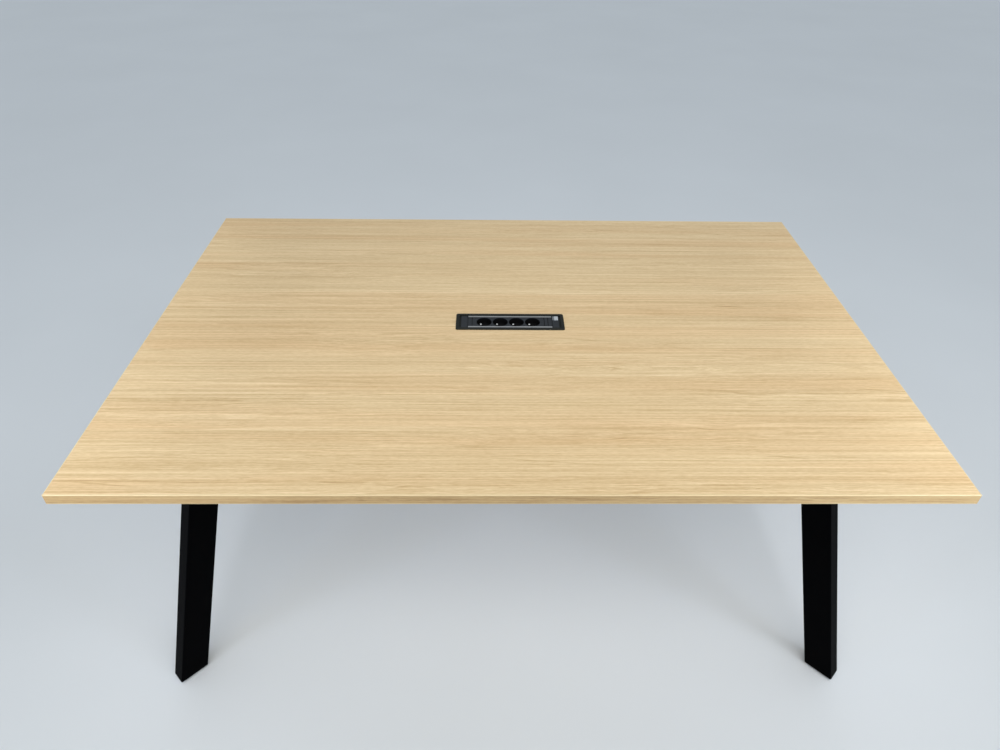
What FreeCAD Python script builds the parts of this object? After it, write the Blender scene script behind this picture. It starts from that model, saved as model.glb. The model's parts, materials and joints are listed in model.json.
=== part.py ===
import FreeCAD, Part
import math
import os
import re

import Sketcher

# Conference table: a wood-decor top on a steel frame with four splayed legs, and a power unit of four
# mains sockets let into the middle of the top. Millimetres, +Z up. The origin is on the floor under the
# middle of the top, X runs along the table and the front is at -Y.

# The sizes that can be set by themselves
SIZES = [
    ("top_length", 1800, "top, along X"),
    ("top_width", 1200, "top, along Y"),
    ("top_thickness", 25, "board"),
    ("table_height", 740, "floor to the upper face of the board"),
    ("band_thickness", 2, "edge band"),
    ("band_round", 1.2, "rounding of the edge band's outer arrises"),
    ("leg_depth", 70, "leg tube's wide face, square to the tube"),
    ("leg_width", 40, "leg tube's narrow face"),
    ("leg_wall", 2, "leg tube's wall"),
    ("leg_corner", 3.5, "leg tube's outer corner radius"),
    ("leg_splay", 16.9, "degrees from upright, along the table's diagonal direction"),
    ("foot_inset", 76, "foot's axis to both edges of the top"),
    ("pad_width", 32, "levelling foot's disc, across its flats"),
    ("pad_height", 6, "levelling foot's disc"),
    ("foot_gap", 0.3, "disc to foot cap, screwed right in"),
    ("foot_travel", 12, "how far a levelling foot runs out"),
    ("stud_diameter", 8, "levelling foot's stud"),
    ("stud_fit", 0.05, "radial clearance of the stud in its insert"),
    ("insert_wall", 2, "threaded insert in the foot cap, at its flats"),
    ("insert_height", 14, "threaded insert in the foot cap"),
    ("foot_cap_flange", 2, "foot cap's rim under the tube"),
    ("foot_cap_plug", 18, "foot cap's plug inside the tube"),
    ("plug_fit", 0.3, "plug to the tube's inner wall"),
    ("plate_thickness", 6, "leg plate"),
    ("plate_margin", 5, "leg plate beyond the leg's outer corners"),
    ("plate_end", 25, "leg plate beyond its last bolts"),
    ("plate_cut", 6, "cut-off corners of a leg plate"),
    ("rail_height", 50, "frame rail"),
    ("rail_width", 30, "frame rail"),
    ("rail_wall", 2, "frame rail"),
    ("rail_corner", 3, "frame rail's outer corner radius"),
    ("rail_cap_flange", 2, "long rail's end cap"),
    ("rail_cap_plug", 15, "long rail's end cap"),
    ("bolt_near", 25, "first leg bolt, inwards from the leg's middle"),
    ("bolt_spacing", 75, "first leg bolt to the second"),
    ("bolt_diameter", 8, "leg bolt"),
    ("bolt_play", 0.5, "radial play of the leg bolt in its holes"),
    ("bolt_spare", 2, "leg bolt's end past its nut"),
    ("hex_width", 13, "across the flats of the bolt's head and of the weld nut"),
    ("hex_head", 5.3, "bolt head's height"),
    ("nut_height", 6.5, "weld nut"),
    ("tab_length", 34, "fixing tab, along its rail"),
    ("tab_depth", 26, "fixing tab, out from its rail"),
    ("tab_thickness", 3, "fixing tab"),
    ("tab_corner", 6, "cut-off free corners of a fixing tab"),
    ("tab_inset", 180, "outer fixing tabs, inwards from the frame's ends"),
    ("screw_diameter", 5, "screw into the board"),
    ("screw_play", 0.3, "radial play of the screw in its tab"),
    ("screw_head", 9.5, "screw head's width"),
    ("screw_head_height", 3, "screw head"),
    ("screw_bite", 16, "screw in the board"),
    ("bezel_thickness", 2.5, "bezel above the board"),
    ("bezel_rim", 8.5, "visible width of the bezel"),
    ("bezel_corner", 5, "bezel's outer corner radius"),
    ("bezel_edge", 1, "chamfer of the bezel's upper arris"),
    ("opening_corner", 3, "corner radius of the bezel's opening"),
    ("collar_wall", 1.5, "bezel's collar"),
    ("collar_below", 15, "bezel's collar below the board"),
    ("cutout_gap", 1, "collar to the board's cut-out"),
    ("face_drop", 1, "channel's lips below the bezel's upper face"),
    ("channel_wall", 2, "aluminium channel"),
    ("lip_width", 5, "channel's visible lip"),
    ("port_block", 8, "channel's inner corner blocks that take the end cap screws"),
    ("end_gap", 4.3, "end cap to the bezel's opening"),
    ("side_gap", 1.75, "channel to the bezel's opening"),
    ("end_cap_length", 18.7, "end cap of the channel"),
    ("end_cap_edge", 0.8, "chamfer of the end cap's upper arrises"),
    ("seam_width", 2, "open seam between the end cap and the channel's lips"),
    ("seam_depth", 2.4, "open seam between the end cap and the channel's lips"),
    ("cap_wall", 6, "end cap's wall under its screw heads"),
    ("boss_width", 10, "end cap's bosses, which meet the collar"),
    ("boss_spacing", 20, "between the two bosses"),
    ("boss_skirt", 2, "end cap below its bosses, at least"),
    ("machine_screw", 4, "power unit's screws"),
    ("machine_screw_length", 16, "power unit's screws"),
    ("machine_screw_head", 7, "head's width"),
    ("machine_screw_head_height", 2.6, "head"),
    ("machine_screw_play", 0.25, "radial play in holes without thread"),
    ("clamp_thickness", 2, "clamp angle under the board"),
    ("clamp_width", 50, "clamp angle, along Y"),
    ("clamp_reach", 26, "clamp angle, outwards under the board"),
    ("clamp_screw_drop", 8, "clamp screw below the board"),
    ("clamp_edge", 6, "clamp angle below its screws"),
    ("slide_fit", 0.15, "plastic pieces to the channel's walls"),
    ("panel_drop", 1.2, "socket faces below the channel's lips"),
    ("recess_diameter", 39, "socket's recess"),
    ("socket_wall", 2.5, "between two recesses"),
    ("face_margin", 1.6, "recess to the socket face's long edge"),
    ("recess_depth", 15, "socket's recess"),
    ("recess_floor", 2.5, "wall under the recess"),
    ("socket_turn", 35, "degrees by which the sockets are turned in plan"),
    ("earth_offset", 10, "earth pin from the socket's middle"),
    ("earth_diameter", 4.8, "earth pin"),
    ("earth_tip", 1.4, "chamfer of the earth pin's tip"),
    ("earth_drop", 2, "earth pin's tip below the socket's face"),
    ("hole_offset", 9.5, "plug hole from the socket's middle"),
    ("hole_diameter", 5.5, "plug hole"),
    ("shutter_lap", 1.25, "safety shutter beyond the plug holes"),
    ("shutter_thickness", 2, "safety shutter"),
    ("shutter_ramp", 1.2, "chamfer that the plug's pins push on"),
    ("shutter_gap", 0.25, "safety shutter to its chamber on every side"),
    ("left_blank", 20, "left blank, along X"),
    ("right_blank", 29, "right blank, along X"),
    ("blank_wall", 3, "ribbed blank's walls"),
    ("left_ribs", 2, "ribs on the left blank"),
    ("right_ribs", 3, "ribs on the right blank"),
    ("groove_width", 2, "groove between two ribs"),
    ("groove_depth", 2.4, "groove between two ribs"),
    ("base_end_wall", 3, "contact base beyond its troughs"),
    ("base_floor", 5.5, "contact base under its troughs"),
    ("clip_drop", 4, "contact clips below the earth strip"),
    ("leaf_thickness", 0.8, "spring leaf of a contact clip and the busbar"),
    ("leaf_gap", 4.6, "between a clip's two leaves"),
    ("leaf_play", 0.2, "leaf to the trough's wall"),
    ("clip_length", 7, "contact clip, along X"),
    ("clip_height", 13, "contact clip"),
    ("busbar_height", 7, "strip that joins the clips"),
    ("earth_strip", 1, "earth busbar's thickness"),
    ("ear_width", 9, "earth busbar's ear around a pin"),
    ("inlet_mouth", 12, "power inlet's mouth, along X"),
    ("inlet_margin", 3, "outer inlet blades to the mouth's ends"),
    ("inlet_height", 16, "power inlet's body above the channel's underside"),
    ("inlet_flange", 3, "power inlet's rim"),
    ("inlet_flange_height", 2.5, "power inlet's rim"),
    ("inlet_wall", 2, "power inlet's wall"),
    ("blade_width", 4, "power inlet's blade, along X"),
    ("blade_thickness", 2, "power inlet's blade, along Y"),
    ("blade_pitch", 6, "one inlet blade to the next"),
    ("blade_drop", 7, "inlet blades' ends above the mouth"),
]

# What follows from those sizes
PLACES = [
    ("under_top", "table_height - top_thickness", "underside of the board"),
    ("rail_bottom", "under_top - rail_height", "underside of the rails"),
    ("plate_bottom", "rail_bottom - plate_thickness", "underside of the leg plates"),
    ("cap_bottom", "pad_height + foot_gap", "underside of the foot caps"),
    ("leg_bottom", "cap_bottom + foot_cap_flange", "lower end of the leg tubes"),
    ("leg_lean", "tan(leg_splay)", "run of a leg for each unit of height"),
    ("leg_run", "leg_depth / cos(leg_splay)", "level section of a leg, along its lean"),
    ("wall_run", "leg_wall / cos(leg_splay)", "level section of a leg's wall, along its lean"),
    ("insert_width", "stud_diameter + 2 * stud_fit + 2 * insert_wall", "threaded insert, across its flats"),
    ("foot_x", "top_length / 2 - foot_inset", "foot's axis"),
    ("foot_y", "top_width / 2 - foot_inset", "foot's axis"),
    ("lean_shift", "(plate_bottom - leg_bottom) * leg_lean / sqrt(2)", "leg's lean along X and along Y"),
    ("head_x", "foot_x - lean_shift", "leg's middle at its plate"),
    ("head_y", "foot_y - lean_shift", "leg's middle at its plate"),
    ("plate_corner", "(leg_run + leg_width) / sqrt(8) + plate_margin", "leg's middle to the plate's edges"),
    ("frame_x", "head_x + plate_corner", "outside of the frame"),
    ("frame_y", "head_y + plate_corner", "outside of the frame"),
    ("bolt_line", "plate_corner - rail_width / 2", "leg's middle to the line of its bolts"),
    ("bolt_far", "bolt_near + bolt_spacing", "second leg bolt, inwards from the leg's middle"),
    ("plate_reach", "bolt_far + plate_end", "leg plate's arms, inwards from the leg's middle"),
    ("bolt_hole", "bolt_diameter + 2 * bolt_play", "leg bolt's holes"),
    ("tab_y", "frame_y - rail_width - tab_depth / 2", "screws along the long rails"),
    ("tab_x", "frame_x - rail_width - tab_depth / 2", "screws along the cross rails"),
    ("tab_run", "frame_x - tab_inset", "outer tabs along the long rails"),
    ("tab_rise", "frame_y - tab_inset", "tabs along the cross rails"),
    ("socket_pitch", "recess_diameter + socket_wall", "one socket to the next"),
    ("channel_length", "left_blank + 4 * socket_pitch + right_blank", "aluminium channel"),
    ("lip_inside", "recess_diameter / 2 + face_margin + slide_fit", "lip's edge from the middle"),
    ("channel_width", "2 * (lip_inside + lip_width)", "aluminium channel"),
    ("opening_length", "channel_length + 2 * (end_cap_length + end_gap)", "bezel's opening"),
    ("opening_width", "channel_width + 2 * side_gap", "bezel's opening"),
    ("bezel_length", "opening_length + 2 * bezel_rim", "bezel, along X"),
    ("bezel_width", "opening_width + 2 * bezel_rim", "bezel, along Y"),
    ("collar_length", "opening_length + 2 * collar_wall", "collar's outside"),
    ("collar_width", "opening_width + 2 * collar_wall", "collar's outside"),
    ("face_top", "table_height + bezel_thickness - face_drop", "upper face of the channel's lips"),
    ("boss_drop", "face_top - under_top + clamp_screw_drop", "boss axis below the channel's lips"),
    ("screw_hole", "machine_screw + 2 * machine_screw_play", "holes without thread"),
    ("channel_inside", "channel_width / 2 - channel_wall", "channel's inner wall from its middle"),
    ("shutter_length", "2 * hole_offset + hole_diameter + 2 * shutter_lap", "shutter, across both holes"),
    ("shutter_width", "hole_diameter + 2 * shutter_lap", "shutter, along its travel"),
    ("shutter_travel", "(hole_diameter + shutter_width) / 2 + shutter_gap", "shutter clear of the holes"),
    ("chamber_height", "shutter_thickness + 2 * shutter_gap", "shutter's chamber"),
    ("chamber_roof", "-panel_drop - recess_depth - recess_floor", "chamber's upper side, from the lips"),
    ("base_top", "chamber_roof - chamber_height", "contact base's upper face, from the lips"),
    ("trough_depth", "earth_strip + clip_drop + clip_height", "busbar's trough in the contact base"),
    ("channel_floor", "base_top - trough_depth - base_floor", "channel's inner floor, from its lips"),
    ("channel_height", "channel_wall - channel_floor", "aluminium channel"),
    ("end_cap_height", "max(channel_height; boss_drop + boss_width / 2 + boss_skirt)", "end cap"),
    ("port_y", "channel_inside - port_block / 2", "end cap screw from the channel's middle"),
    ("port_z", "channel_floor + port_block / 2", "end cap screw, from the channel's lips"),
    ("sockets_left", "left_blank - channel_length / 2", "left-hand end of the sockets"),
    ("sockets_right", "channel_length / 2 - right_blank", "right-hand end of the sockets"),
    ("sockets_middle", "(left_blank - right_blank) / 2", "middle of the four sockets"),
    ("first_socket", "sockets_left + socket_pitch / 2", "left-hand socket's middle"),
    ("earth_x", "-earth_offset * cos(socket_turn)", "earth pin from its socket's middle"),
    ("earth_y", "-earth_offset * sin(socket_turn)", "earth pin from its socket's middle"),
    ("hole_x", "hole_offset * sin(socket_turn)", "front plug hole from its socket's middle"),
    ("hole_y", "-hole_offset * cos(socket_turn)", "front plug hole from its socket's middle"),
    ("clip_half", "leaf_gap / 2 + leaf_thickness", "contact clip's half width"),
    ("trough_half", "clip_half + leaf_play", "trough's half width"),
    ("trough_floor", "base_top - trough_depth", "trough's floor, from the lips"),
    ("inlet_length", "inlet_mouth + 2 * inlet_wall", "power inlet's body, along X"),
    ("inlet_width", "2 * (blade_pitch + inlet_margin + inlet_wall) + blade_thickness", "inlet, along Y"),
    ("inlet_x", "(sockets_right + channel_length / 2) / 2", "power inlet's middle"),
]

CORNERS = {
    "front_left": (-1, -1, 180),
    "front_right": (1, -1, 270),
    "back_right": (1, 1, 0),
    "back_left": (-1, 1, 90),
}
SOCKETS = range(4)
# Screws, pins and their holes are drawn with a few flat sides, which keeps the model light
SCREW_SIDES = 8
PIN_SIDES = 12
HEX_SIDES = 6
# A sketch point this near to an axis lies on it
ON_AXIS = 1e-6
UP = FreeCAD.Vector(0, 0, 1)
ALONG_X = FreeCAD.Vector(1, 0, 0)
ALONG_Y = FreeCAD.Vector(0, 1, 0)

SHEET_OF = {alias: "Sizes" for alias, _, _ in SIZES}
SHEET_OF.update({alias: "Places" for alias, _, _ in PLACES})
DOC = FreeCAD.newDocument("ConferenceTable")
SUBPARTS = []


def formula(text):
    """Puts its sheet's name before each alias, so that sizes can be written as plain words."""
    def with_sheet(word):
        alias = word.group()
        return f"{SHEET_OF[alias]}.{alias}" if alias in SHEET_OF else alias
    return re.sub(r"[a-z_]+", with_sheet, str(text))


def make_sheet(name, rows, prefix):
    sheet = DOC.addObject("Spreadsheet::Sheet", name)
    for line, (alias, content, meaning) in enumerate(rows, start=1):
        sheet.set(f"A{line}", meaning)
        sheet.set(f"B{line}", prefix + formula(content))
        sheet.setAlias(f"B{line}", alias)
    DOC.recompute()
    return sheet


def bind(thing, name, text):
    thing.setExpression(name, formula(text))


def place(thing, x="0", y="0", z="0", angle=0):
    """Turns a piece about Z and moves it, with its place bound to the sheets."""
    thing.Placement = FreeCAD.Placement(FreeCAD.Vector(), FreeCAD.Rotation(UP, angle))
    for axis, text in zip("xyz", (x, y, z)):
        bind(thing, f"Placement.Base.{axis}", text)


def subpart(kind, label):
    piece = DOC.addObject(kind, label)
    piece.Label = label
    SUBPARTS.append(piece)
    return piece


def body(label):
    return subpart("PartDesign::Body", label)


def master(name):
    """A body that only serves as the pattern of a group of equal pieces."""
    return DOC.addObject("PartDesign::Body", name)


def group(label, pattern, places):
    """Equal pieces that share one node, each a link to the pattern at (x, y, z, angle)."""
    links = []
    for spot in places:
        link = DOC.addObject("App::Link", f"{label}_piece")
        link.LinkedObject = pattern
        place(link, *spot)
        links.append(link)
    pieces = subpart("Part::Compound", label)
    pieces.Links = links
    return pieces


def sketch(owner, plane, height="0"):
    """A sketch on one of the body's own planes, moved along the plane's normal."""
    drawing = owner.newObject("Sketcher::SketchObject", "Sketch")
    drawing.AttachmentSupport = (next(f for f in owner.Origin.OriginFeatures if f.Role == plane), [""])
    drawing.MapMode = "FlatFace"
    bind(drawing, "AttachmentOffset.Base.z", height)
    return drawing


def point(drawing, corner):
    """The place in a sketch that a pair of formulas gives."""
    return FreeCAD.Vector(*(drawing.evalExpression(formula(text)) for text in corner), 0)


def pin_point(drawing, line, end, corner):
    """Holds one point of a sketch at a pair of formulas."""
    for kind, axis, text in zip(("DistanceX", "DistanceY"), (-2, -1), corner):
        distance = drawing.evalExpression(formula(text))
        if abs(distance) < ON_AXIS:
            drawing.addConstraint(Sketcher.Constraint("PointOnObject", line, end, axis))
            continue
        index = drawing.addConstraint(Sketcher.Constraint(kind, -1, 1, line, end, distance))
        bind(drawing, f"Constraints[{index}]", text)


def outline(drawing, corners):
    """A closed run of straight lines through corners, each a pair of formulas."""
    points = [point(drawing, corner) for corner in corners]
    first = drawing.GeometryCount
    for start, end in zip(points, points[1:] + points[:1]):
        drawing.addGeometry(Part.LineSegment(start, end), False)
    for number, corner in enumerate(corners):
        following = first + (number + 1) % len(corners)
        drawing.addConstraint(Sketcher.Constraint("Coincident", first + number, 2, following, 1))
        pin_point(drawing, first + number, 1, corner)


def rectangle(drawing, left, right, low, high):
    outline(drawing, [(left, low), (right, low), (right, high), (left, high)])


def centred(drawing, length, width):
    half_x, half_y = f"({length}) / 2", f"({width}) / 2"
    rectangle(drawing, f"-{half_x}", half_x, f"-{half_y}", half_y)


def circle(drawing, x, y, diameter):
    size = drawing.evalExpression(formula(diameter))
    index = drawing.addGeometry(Part.Circle(point(drawing, (x, y)), UP, size / 2), False)
    rule = drawing.addConstraint(Sketcher.Constraint("Diameter", index, size))
    bind(drawing, f"Constraints[{rule}]", diameter)
    pin_point(drawing, index, 3, (x, y))


def polygon(drawing, x, y, width, sides=SCREW_SIDES):
    """A regular outline about a point, with its width across the flats and a corner on the first axis."""
    radius = f"({width}) / (2 * cos(180 / {sides}))"
    turns = [360 * number / sides for number in range(sides)]
    outline(drawing, [(f"{x} + {radius} * cos({turn})", f"{y} + {radius} * sin({turn})") for turn in turns])


def pad(owner, drawing, length, back=False):
    feature = owner.newObject("PartDesign::Pad", "Pad")
    feature.Profile = drawing
    feature.Reversed = back
    bind(feature, "Length", length)
    DOC.recompute()
    return feature


def leaning_pad(owner, drawing, height):
    """A pad that leans inwards, towards -X of its body, as the legs do."""
    feature = owner.newObject("PartDesign::Pad", "LeaningPad")
    feature.Profile = drawing
    feature.UseCustomVector = True
    feature.Direction = UP
    feature.AlongSketchNormal = True
    bind(feature, "Direction.x", "-leg_lean")
    bind(feature, "Length", height)
    DOC.recompute()
    return feature


def pocket(owner, drawing, depth, back=False):
    """Cuts against the sketch's normal, or along it if back is set, and makes sure that it cuts."""
    before = owner.Shape.Volume
    feature = owner.newObject("PartDesign::Pocket", "Pocket")
    feature.Profile = drawing
    feature.Reversed = back
    bind(feature, "Length", depth)
    DOC.recompute()
    if owner.Shape.Volume >= before:
        raise RuntimeError(f"a pocket of {owner.Label} cuts nothing")
    return feature


def linear_pattern(owner, feature, step, count):
    pattern = owner.newObject("PartDesign::LinearPattern", "Pattern")
    pattern.Originals = [feature]
    axis = next(f for f in owner.Origin.OriginFeatures if f.Role == "X_Axis")
    pattern.Direction = (axis, [""])
    pattern.Occurrences = count
    bind(pattern, "Length", f"({step}) * {count - 1}")
    owner.Tip = pattern
    DOC.recompute()
    return pattern


def edges(feature, test):
    return [f"Edge{n}" for n, edge in enumerate(feature.Shape.Edges, start=1) if test(edge)]


def straight(edge, direction):
    """Whether an edge is a straight one along a direction."""
    if edge.Curve.TypeId != "Part::GeomLine":
        return False
    return abs(edge.Curve.Direction.dot(direction)) > direction.Length * math.cos(math.radians(0.5))


def soften(owner, feature, test, size, kind="Fillet"):
    """A fillet or chamfer on the edges that pass a test."""
    finish = owner.newObject(f"PartDesign::{kind}", kind)
    finish.Base = (feature, edges(feature, test))
    bind(finish, "Radius" if kind == "Fillet" else "Size", size)
    DOC.recompute()
    return finish


def size_of(alias):
    return DOC.getObject(SHEET_OF[alias]).get(alias)


def near(value, text):
    """Whether a measured place is the one that a formula gives, on either side of the middle."""
    return abs(abs(value) - abs(DOC.Sizes.evalExpression(formula(text)))) < 0.01


def fixing_places():
    """Where the fixing tabs and their screws are: x, y and the turn that points the tab inwards."""
    for side, angle in ((-1, 0), (1, 180)):
        for step in (-1, 0, 1):
            yield f"{step} * tab_run", f"{side} * tab_y", angle
    for side, angle in ((-1, 270), (1, 90)):
        for end in (-1, 1):
            yield f"{side} * tab_x", f"{end} * tab_rise", angle


def make_top_panel():
    panel = body("top_panel")
    board = sketch(panel, "XY_Plane", "under_top")
    centred(board, "top_length - 2 * band_thickness", "top_width - 2 * band_thickness")
    centred(board, "collar_length + 2 * cutout_gap", "collar_width + 2 * cutout_gap")
    slab = pad(panel, board, "top_thickness")
    soften(
        panel, slab,
        lambda edge: straight(edge, UP) and near(edge.CenterOfMass.x, "collar_length / 2 + cutout_gap"),
        "opening_corner + collar_wall + cutout_gap",
    )
    pilots = sketch(panel, "XY_Plane", "under_top")
    for x, y, _ in fixing_places():
        polygon(pilots, x, y, "screw_diameter")
    pocket(panel, pilots, "screw_bite", back=True)


def make_edge_band(label, length, distance, outwards, angle):
    band = body(label)
    section = sketch(band, "YZ_Plane", f"-({length}) / 2")
    rectangle(section, "0", "band_thickness", "0", "top_thickness")
    strip = pad(band, section, length)
    soften(
        band, strip,
        lambda edge: straight(edge, ALONG_X) and near(edge.CenterOfMass.y, "band_thickness"),
        "min(band_round; 0.9 * band_thickness; 0.4 * top_thickness)",
    )
    place(band, f"{outwards[0]} * ({distance})", f"{outwards[1]} * ({distance})", "under_top", angle)


def make_edge_bands():
    along, across = "top_length", "top_width - 2 * band_thickness"
    to_long, to_short = "top_width / 2 - band_thickness", "top_length / 2 - band_thickness"
    make_edge_band("edge_band_front", along, to_long, (0, -1), 180)
    make_edge_band("edge_band_back", along, to_long, (0, 1), 0)
    make_edge_band("edge_band_left", across, to_short, (-1, 0), 90)
    make_edge_band("edge_band_right", across, to_short, (1, 0), 270)


def lean_direction():
    return FreeCAD.Vector(-size_of("leg_lean"), 0, 1).normalize()


def make_leg(corner, side_x, side_y, turn):
    """A hollow tube whose level section is drawn at the foot and padded along the lean."""
    leg = body(f"leg_{corner}")
    section = sketch(leg, "XY_Plane")
    centred(section, "leg_run", "leg_width")
    centred(section, "leg_run - 2 * wall_run", "leg_width - 2 * leg_wall")
    tube = leaning_pad(leg, section, "plate_bottom - leg_bottom")
    lean = lean_direction()
    soften(
        leg, tube,
        lambda edge: straight(edge, lean) and near(edge.CenterOfMass.y, "leg_width / 2"),
        "min(leg_corner; leg_width / 3)",
    )
    place(leg, f"{side_x} * foot_x", f"{side_y} * foot_y", "leg_bottom", turn + 45)


def make_foot_cap(corner, side_x, side_y, turn):
    """A rim that carries the tube's outline down, a plug inside the tube and a bore for the insert."""
    cap = body(f"foot_cap_{corner}")
    rim = sketch(cap, "XY_Plane", "-foot_cap_flange")
    shift = "foot_cap_flange * leg_lean"
    rectangle(rim, f"{shift} - leg_run / 2", f"{shift} + leg_run / 2", "-leg_width / 2", "leg_width / 2")
    flange = leaning_pad(cap, rim, "foot_cap_flange")
    lean = lean_direction()
    soften(cap, flange, lambda edge: straight(edge, lean), "min(leg_corner; leg_width / 3)")
    plug = sketch(cap, "XY_Plane")
    centred(plug, "leg_run - 2 * wall_run - 2 * plug_fit", "leg_width - 2 * leg_wall - 2 * plug_fit")
    leaning_pad(cap, plug, "foot_cap_plug")
    bore = sketch(cap, "XY_Plane", "foot_cap_plug")
    polygon(bore, "0", "0", "insert_width", HEX_SIDES)
    pocket(cap, bore, "foot_cap_plug + foot_cap_flange")
    place(cap, f"{side_x} * foot_x", f"{side_y} * foot_y", "leg_bottom", turn + 45)


def make_levelling_foot(corner, side_x, side_y, turn):
    """A many-sided disc, easy to turn by hand, with its stud. It is screwed right in."""
    foot = body(f"levelling_foot_{corner}")
    disc = sketch(foot, "XY_Plane")
    polygon(disc, "0", "0", "pad_width", PIN_SIDES)
    pad(foot, disc, "pad_height")
    stud = sketch(foot, "XY_Plane", "pad_height")
    polygon(stud, "0", "0", "stud_diameter", PIN_SIDES)
    pad(foot, stud, "foot_gap + insert_height + foot_travel")
    place(foot, f"{side_x} * foot_x", f"{side_y} * foot_y", angle=turn + 45)


def make_foot_inserts():
    insert = master("insert_pattern")
    ring = sketch(insert, "XY_Plane")
    polygon(ring, "0", "0", "insert_width", HEX_SIDES)
    polygon(ring, "0", "0", "stud_diameter + 2 * stud_fit", PIN_SIDES)
    pad(insert, ring, "insert_height")
    group("foot_inserts", insert, [
        (f"{x} * foot_x", f"{y} * foot_y", "cap_bottom", turn + 45) for x, y, turn in CORNERS.values()
    ])


def make_leg_plate(corner, side_x, side_y, turn):
    """A gusset under the frame's corner, with an arm along each rail. The leg is welded under it."""
    plate = body(f"leg_plate_{corner}")
    gusset = sketch(plate, "XY_Plane")
    inside = "plate_corner - rail_width"
    outline(gusset, [
        ("plate_corner", "plate_corner"),
        ("-plate_reach", "plate_corner"),
        ("-plate_reach", inside),
        (inside, "-plate_reach"),
        ("plate_corner", "-plate_reach"),
    ])
    flat = pad(plate, gusset, "plate_thickness")
    soften(plate, flat, lambda edge: straight(edge, UP), "plate_cut", "Chamfer")
    holes = sketch(plate, "XY_Plane", "plate_thickness")
    for along in ("-bolt_near", "-bolt_far"):
        polygon(holes, along, "bolt_line", "bolt_hole")
        polygon(holes, "bolt_line", along, "bolt_hole")
    pocket(plate, holes, "plate_thickness")
    place(plate, f"{side_x} * head_x", f"{side_y} * head_y", "plate_bottom", turn)


def make_rail(label, length, head, across, turn):
    """A rectangular tube along X of its own frame, with holes for the leg bolts in its lower wall."""
    rail = body(label)
    section = sketch(rail, "YZ_Plane", f"-({length}) / 2")
    rectangle(section, "-rail_width / 2", "rail_width / 2", "0", "rail_height")
    inner = "rail_width / 2 - rail_wall"
    rectangle(section, f"-({inner})", inner, "rail_wall", "rail_height - rail_wall")
    tube = pad(rail, section, length)
    soften(
        rail, tube,
        lambda edge: straight(edge, ALONG_X) and near(edge.CenterOfMass.y, "rail_width / 2"),
        "min(rail_corner; rail_width / 3)",
    )
    holes = sketch(rail, "XY_Plane", "rail_wall")
    for end in (-1, 1):
        for along in ("bolt_near", "bolt_far"):
            polygon(holes, f"{end} * ({head} - {along})", "0", "bolt_hole")
    pocket(rail, holes, "rail_wall")
    place(rail, across[0], across[1], "rail_bottom", turn)


def make_rails():
    along, across = "2 * (frame_x - rail_cap_flange)", "2 * (frame_y - rail_width)"
    long_y, cross_x = "(frame_y - rail_width / 2)", "(frame_x - rail_width / 2)"
    make_rail("long_rail_front", along, "head_x", ("0", f"-{long_y}"), 0)
    make_rail("long_rail_back", along, "head_x", ("0", long_y), 0)
    make_rail("cross_rail_left", across, "head_y", (f"-{cross_x}", "0"), 90)
    make_rail("cross_rail_right", across, "head_y", (cross_x, "0"), 90)


def make_rail_end_caps():
    cap = master("rail_cap_pattern")
    plug = sketch(cap, "YZ_Plane", "-rail_cap_plug")
    inner = "(rail_width / 2 - rail_wall - plug_fit)"
    rectangle(plug, f"-{inner}", inner, "rail_wall + plug_fit", "rail_height - rail_wall - plug_fit")
    pad(cap, plug, "rail_cap_plug")
    rim = sketch(cap, "YZ_Plane")
    rectangle(rim, "-rail_width / 2", "rail_width / 2", "0", "rail_height")
    flange = pad(cap, rim, "rail_cap_flange")
    soften(
        cap, flange,
        lambda edge: straight(edge, ALONG_X) and near(edge.CenterOfMass.y, "rail_width / 2"),
        "min(rail_corner; rail_width / 3)", "Chamfer",
    )
    rail_end, rail_middle = "(frame_x - rail_cap_flange)", "(frame_y - rail_width / 2)"
    group("rail_end_caps", cap, [
        (f"{x} * {rail_end}", f"{y} * {rail_middle}", "rail_bottom", 90 - 90 * x)
        for x in (-1, 1) for y in (-1, 1)
    ])


def bolt_places(height):
    for x, y, _ in CORNERS.values():
        for along in ("bolt_near", "bolt_far"):
            yield f"{x} * (head_x - {along})", f"{y} * (head_y + bolt_line)", height, 0
            yield f"{x} * (head_x + bolt_line)", f"{y} * (head_y - {along})", height, 0


def prism(name, width, height, sides=SCREW_SIDES):
    """A plain bar with that many flats, its width measured across them."""
    bar = DOC.addObject("Part::Prism", name)
    bar.Polygon = sides
    bind(bar, "Circumradius", f"({width}) / (2 * cos(180 / {sides}))")
    bind(bar, "Height", height)
    return bar


def make_leg_bolts():
    head = prism("bolt_head", "hex_width", "hex_head", HEX_SIDES)
    grip = "plate_thickness + rail_wall + nut_height"
    rod = prism("bolt_shank", "bolt_diameter", f"hex_head + {grip} + bolt_spare")
    bolt = DOC.addObject("Part::Fuse", "bolt_pattern")
    bolt.Base, bolt.Tool = head, rod
    group("leg_bolts", bolt, bolt_places("plate_bottom - hex_head"))


def make_weld_nuts():
    block = prism("nut_block", "hex_width", "nut_height", HEX_SIDES)
    thread = prism("nut_thread", "bolt_diameter", "nut_height")
    nut = DOC.addObject("Part::Cut", "nut_pattern")
    nut.Base, nut.Tool = block, thread
    group("weld_nuts", nut, bolt_places("rail_bottom + rail_wall"))


def make_fixing_tabs():
    tab = master("tab_pattern")
    flat = sketch(tab, "XY_Plane")
    centred(flat, "tab_length", "tab_depth")
    plate = pad(tab, flat, "tab_thickness")
    soften(tab, plate, lambda edge: straight(edge, UP) and edge.CenterOfMass.y > 0, "tab_corner", "Chamfer")
    hole = sketch(tab, "XY_Plane", "tab_thickness")
    polygon(hole, "0", "0", "screw_diameter + 2 * screw_play")
    pocket(tab, hole, "tab_thickness")
    group("top_fixing_tabs", tab, [
        (x, y, "under_top - tab_thickness", angle) for x, y, angle in fixing_places()
    ])


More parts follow.
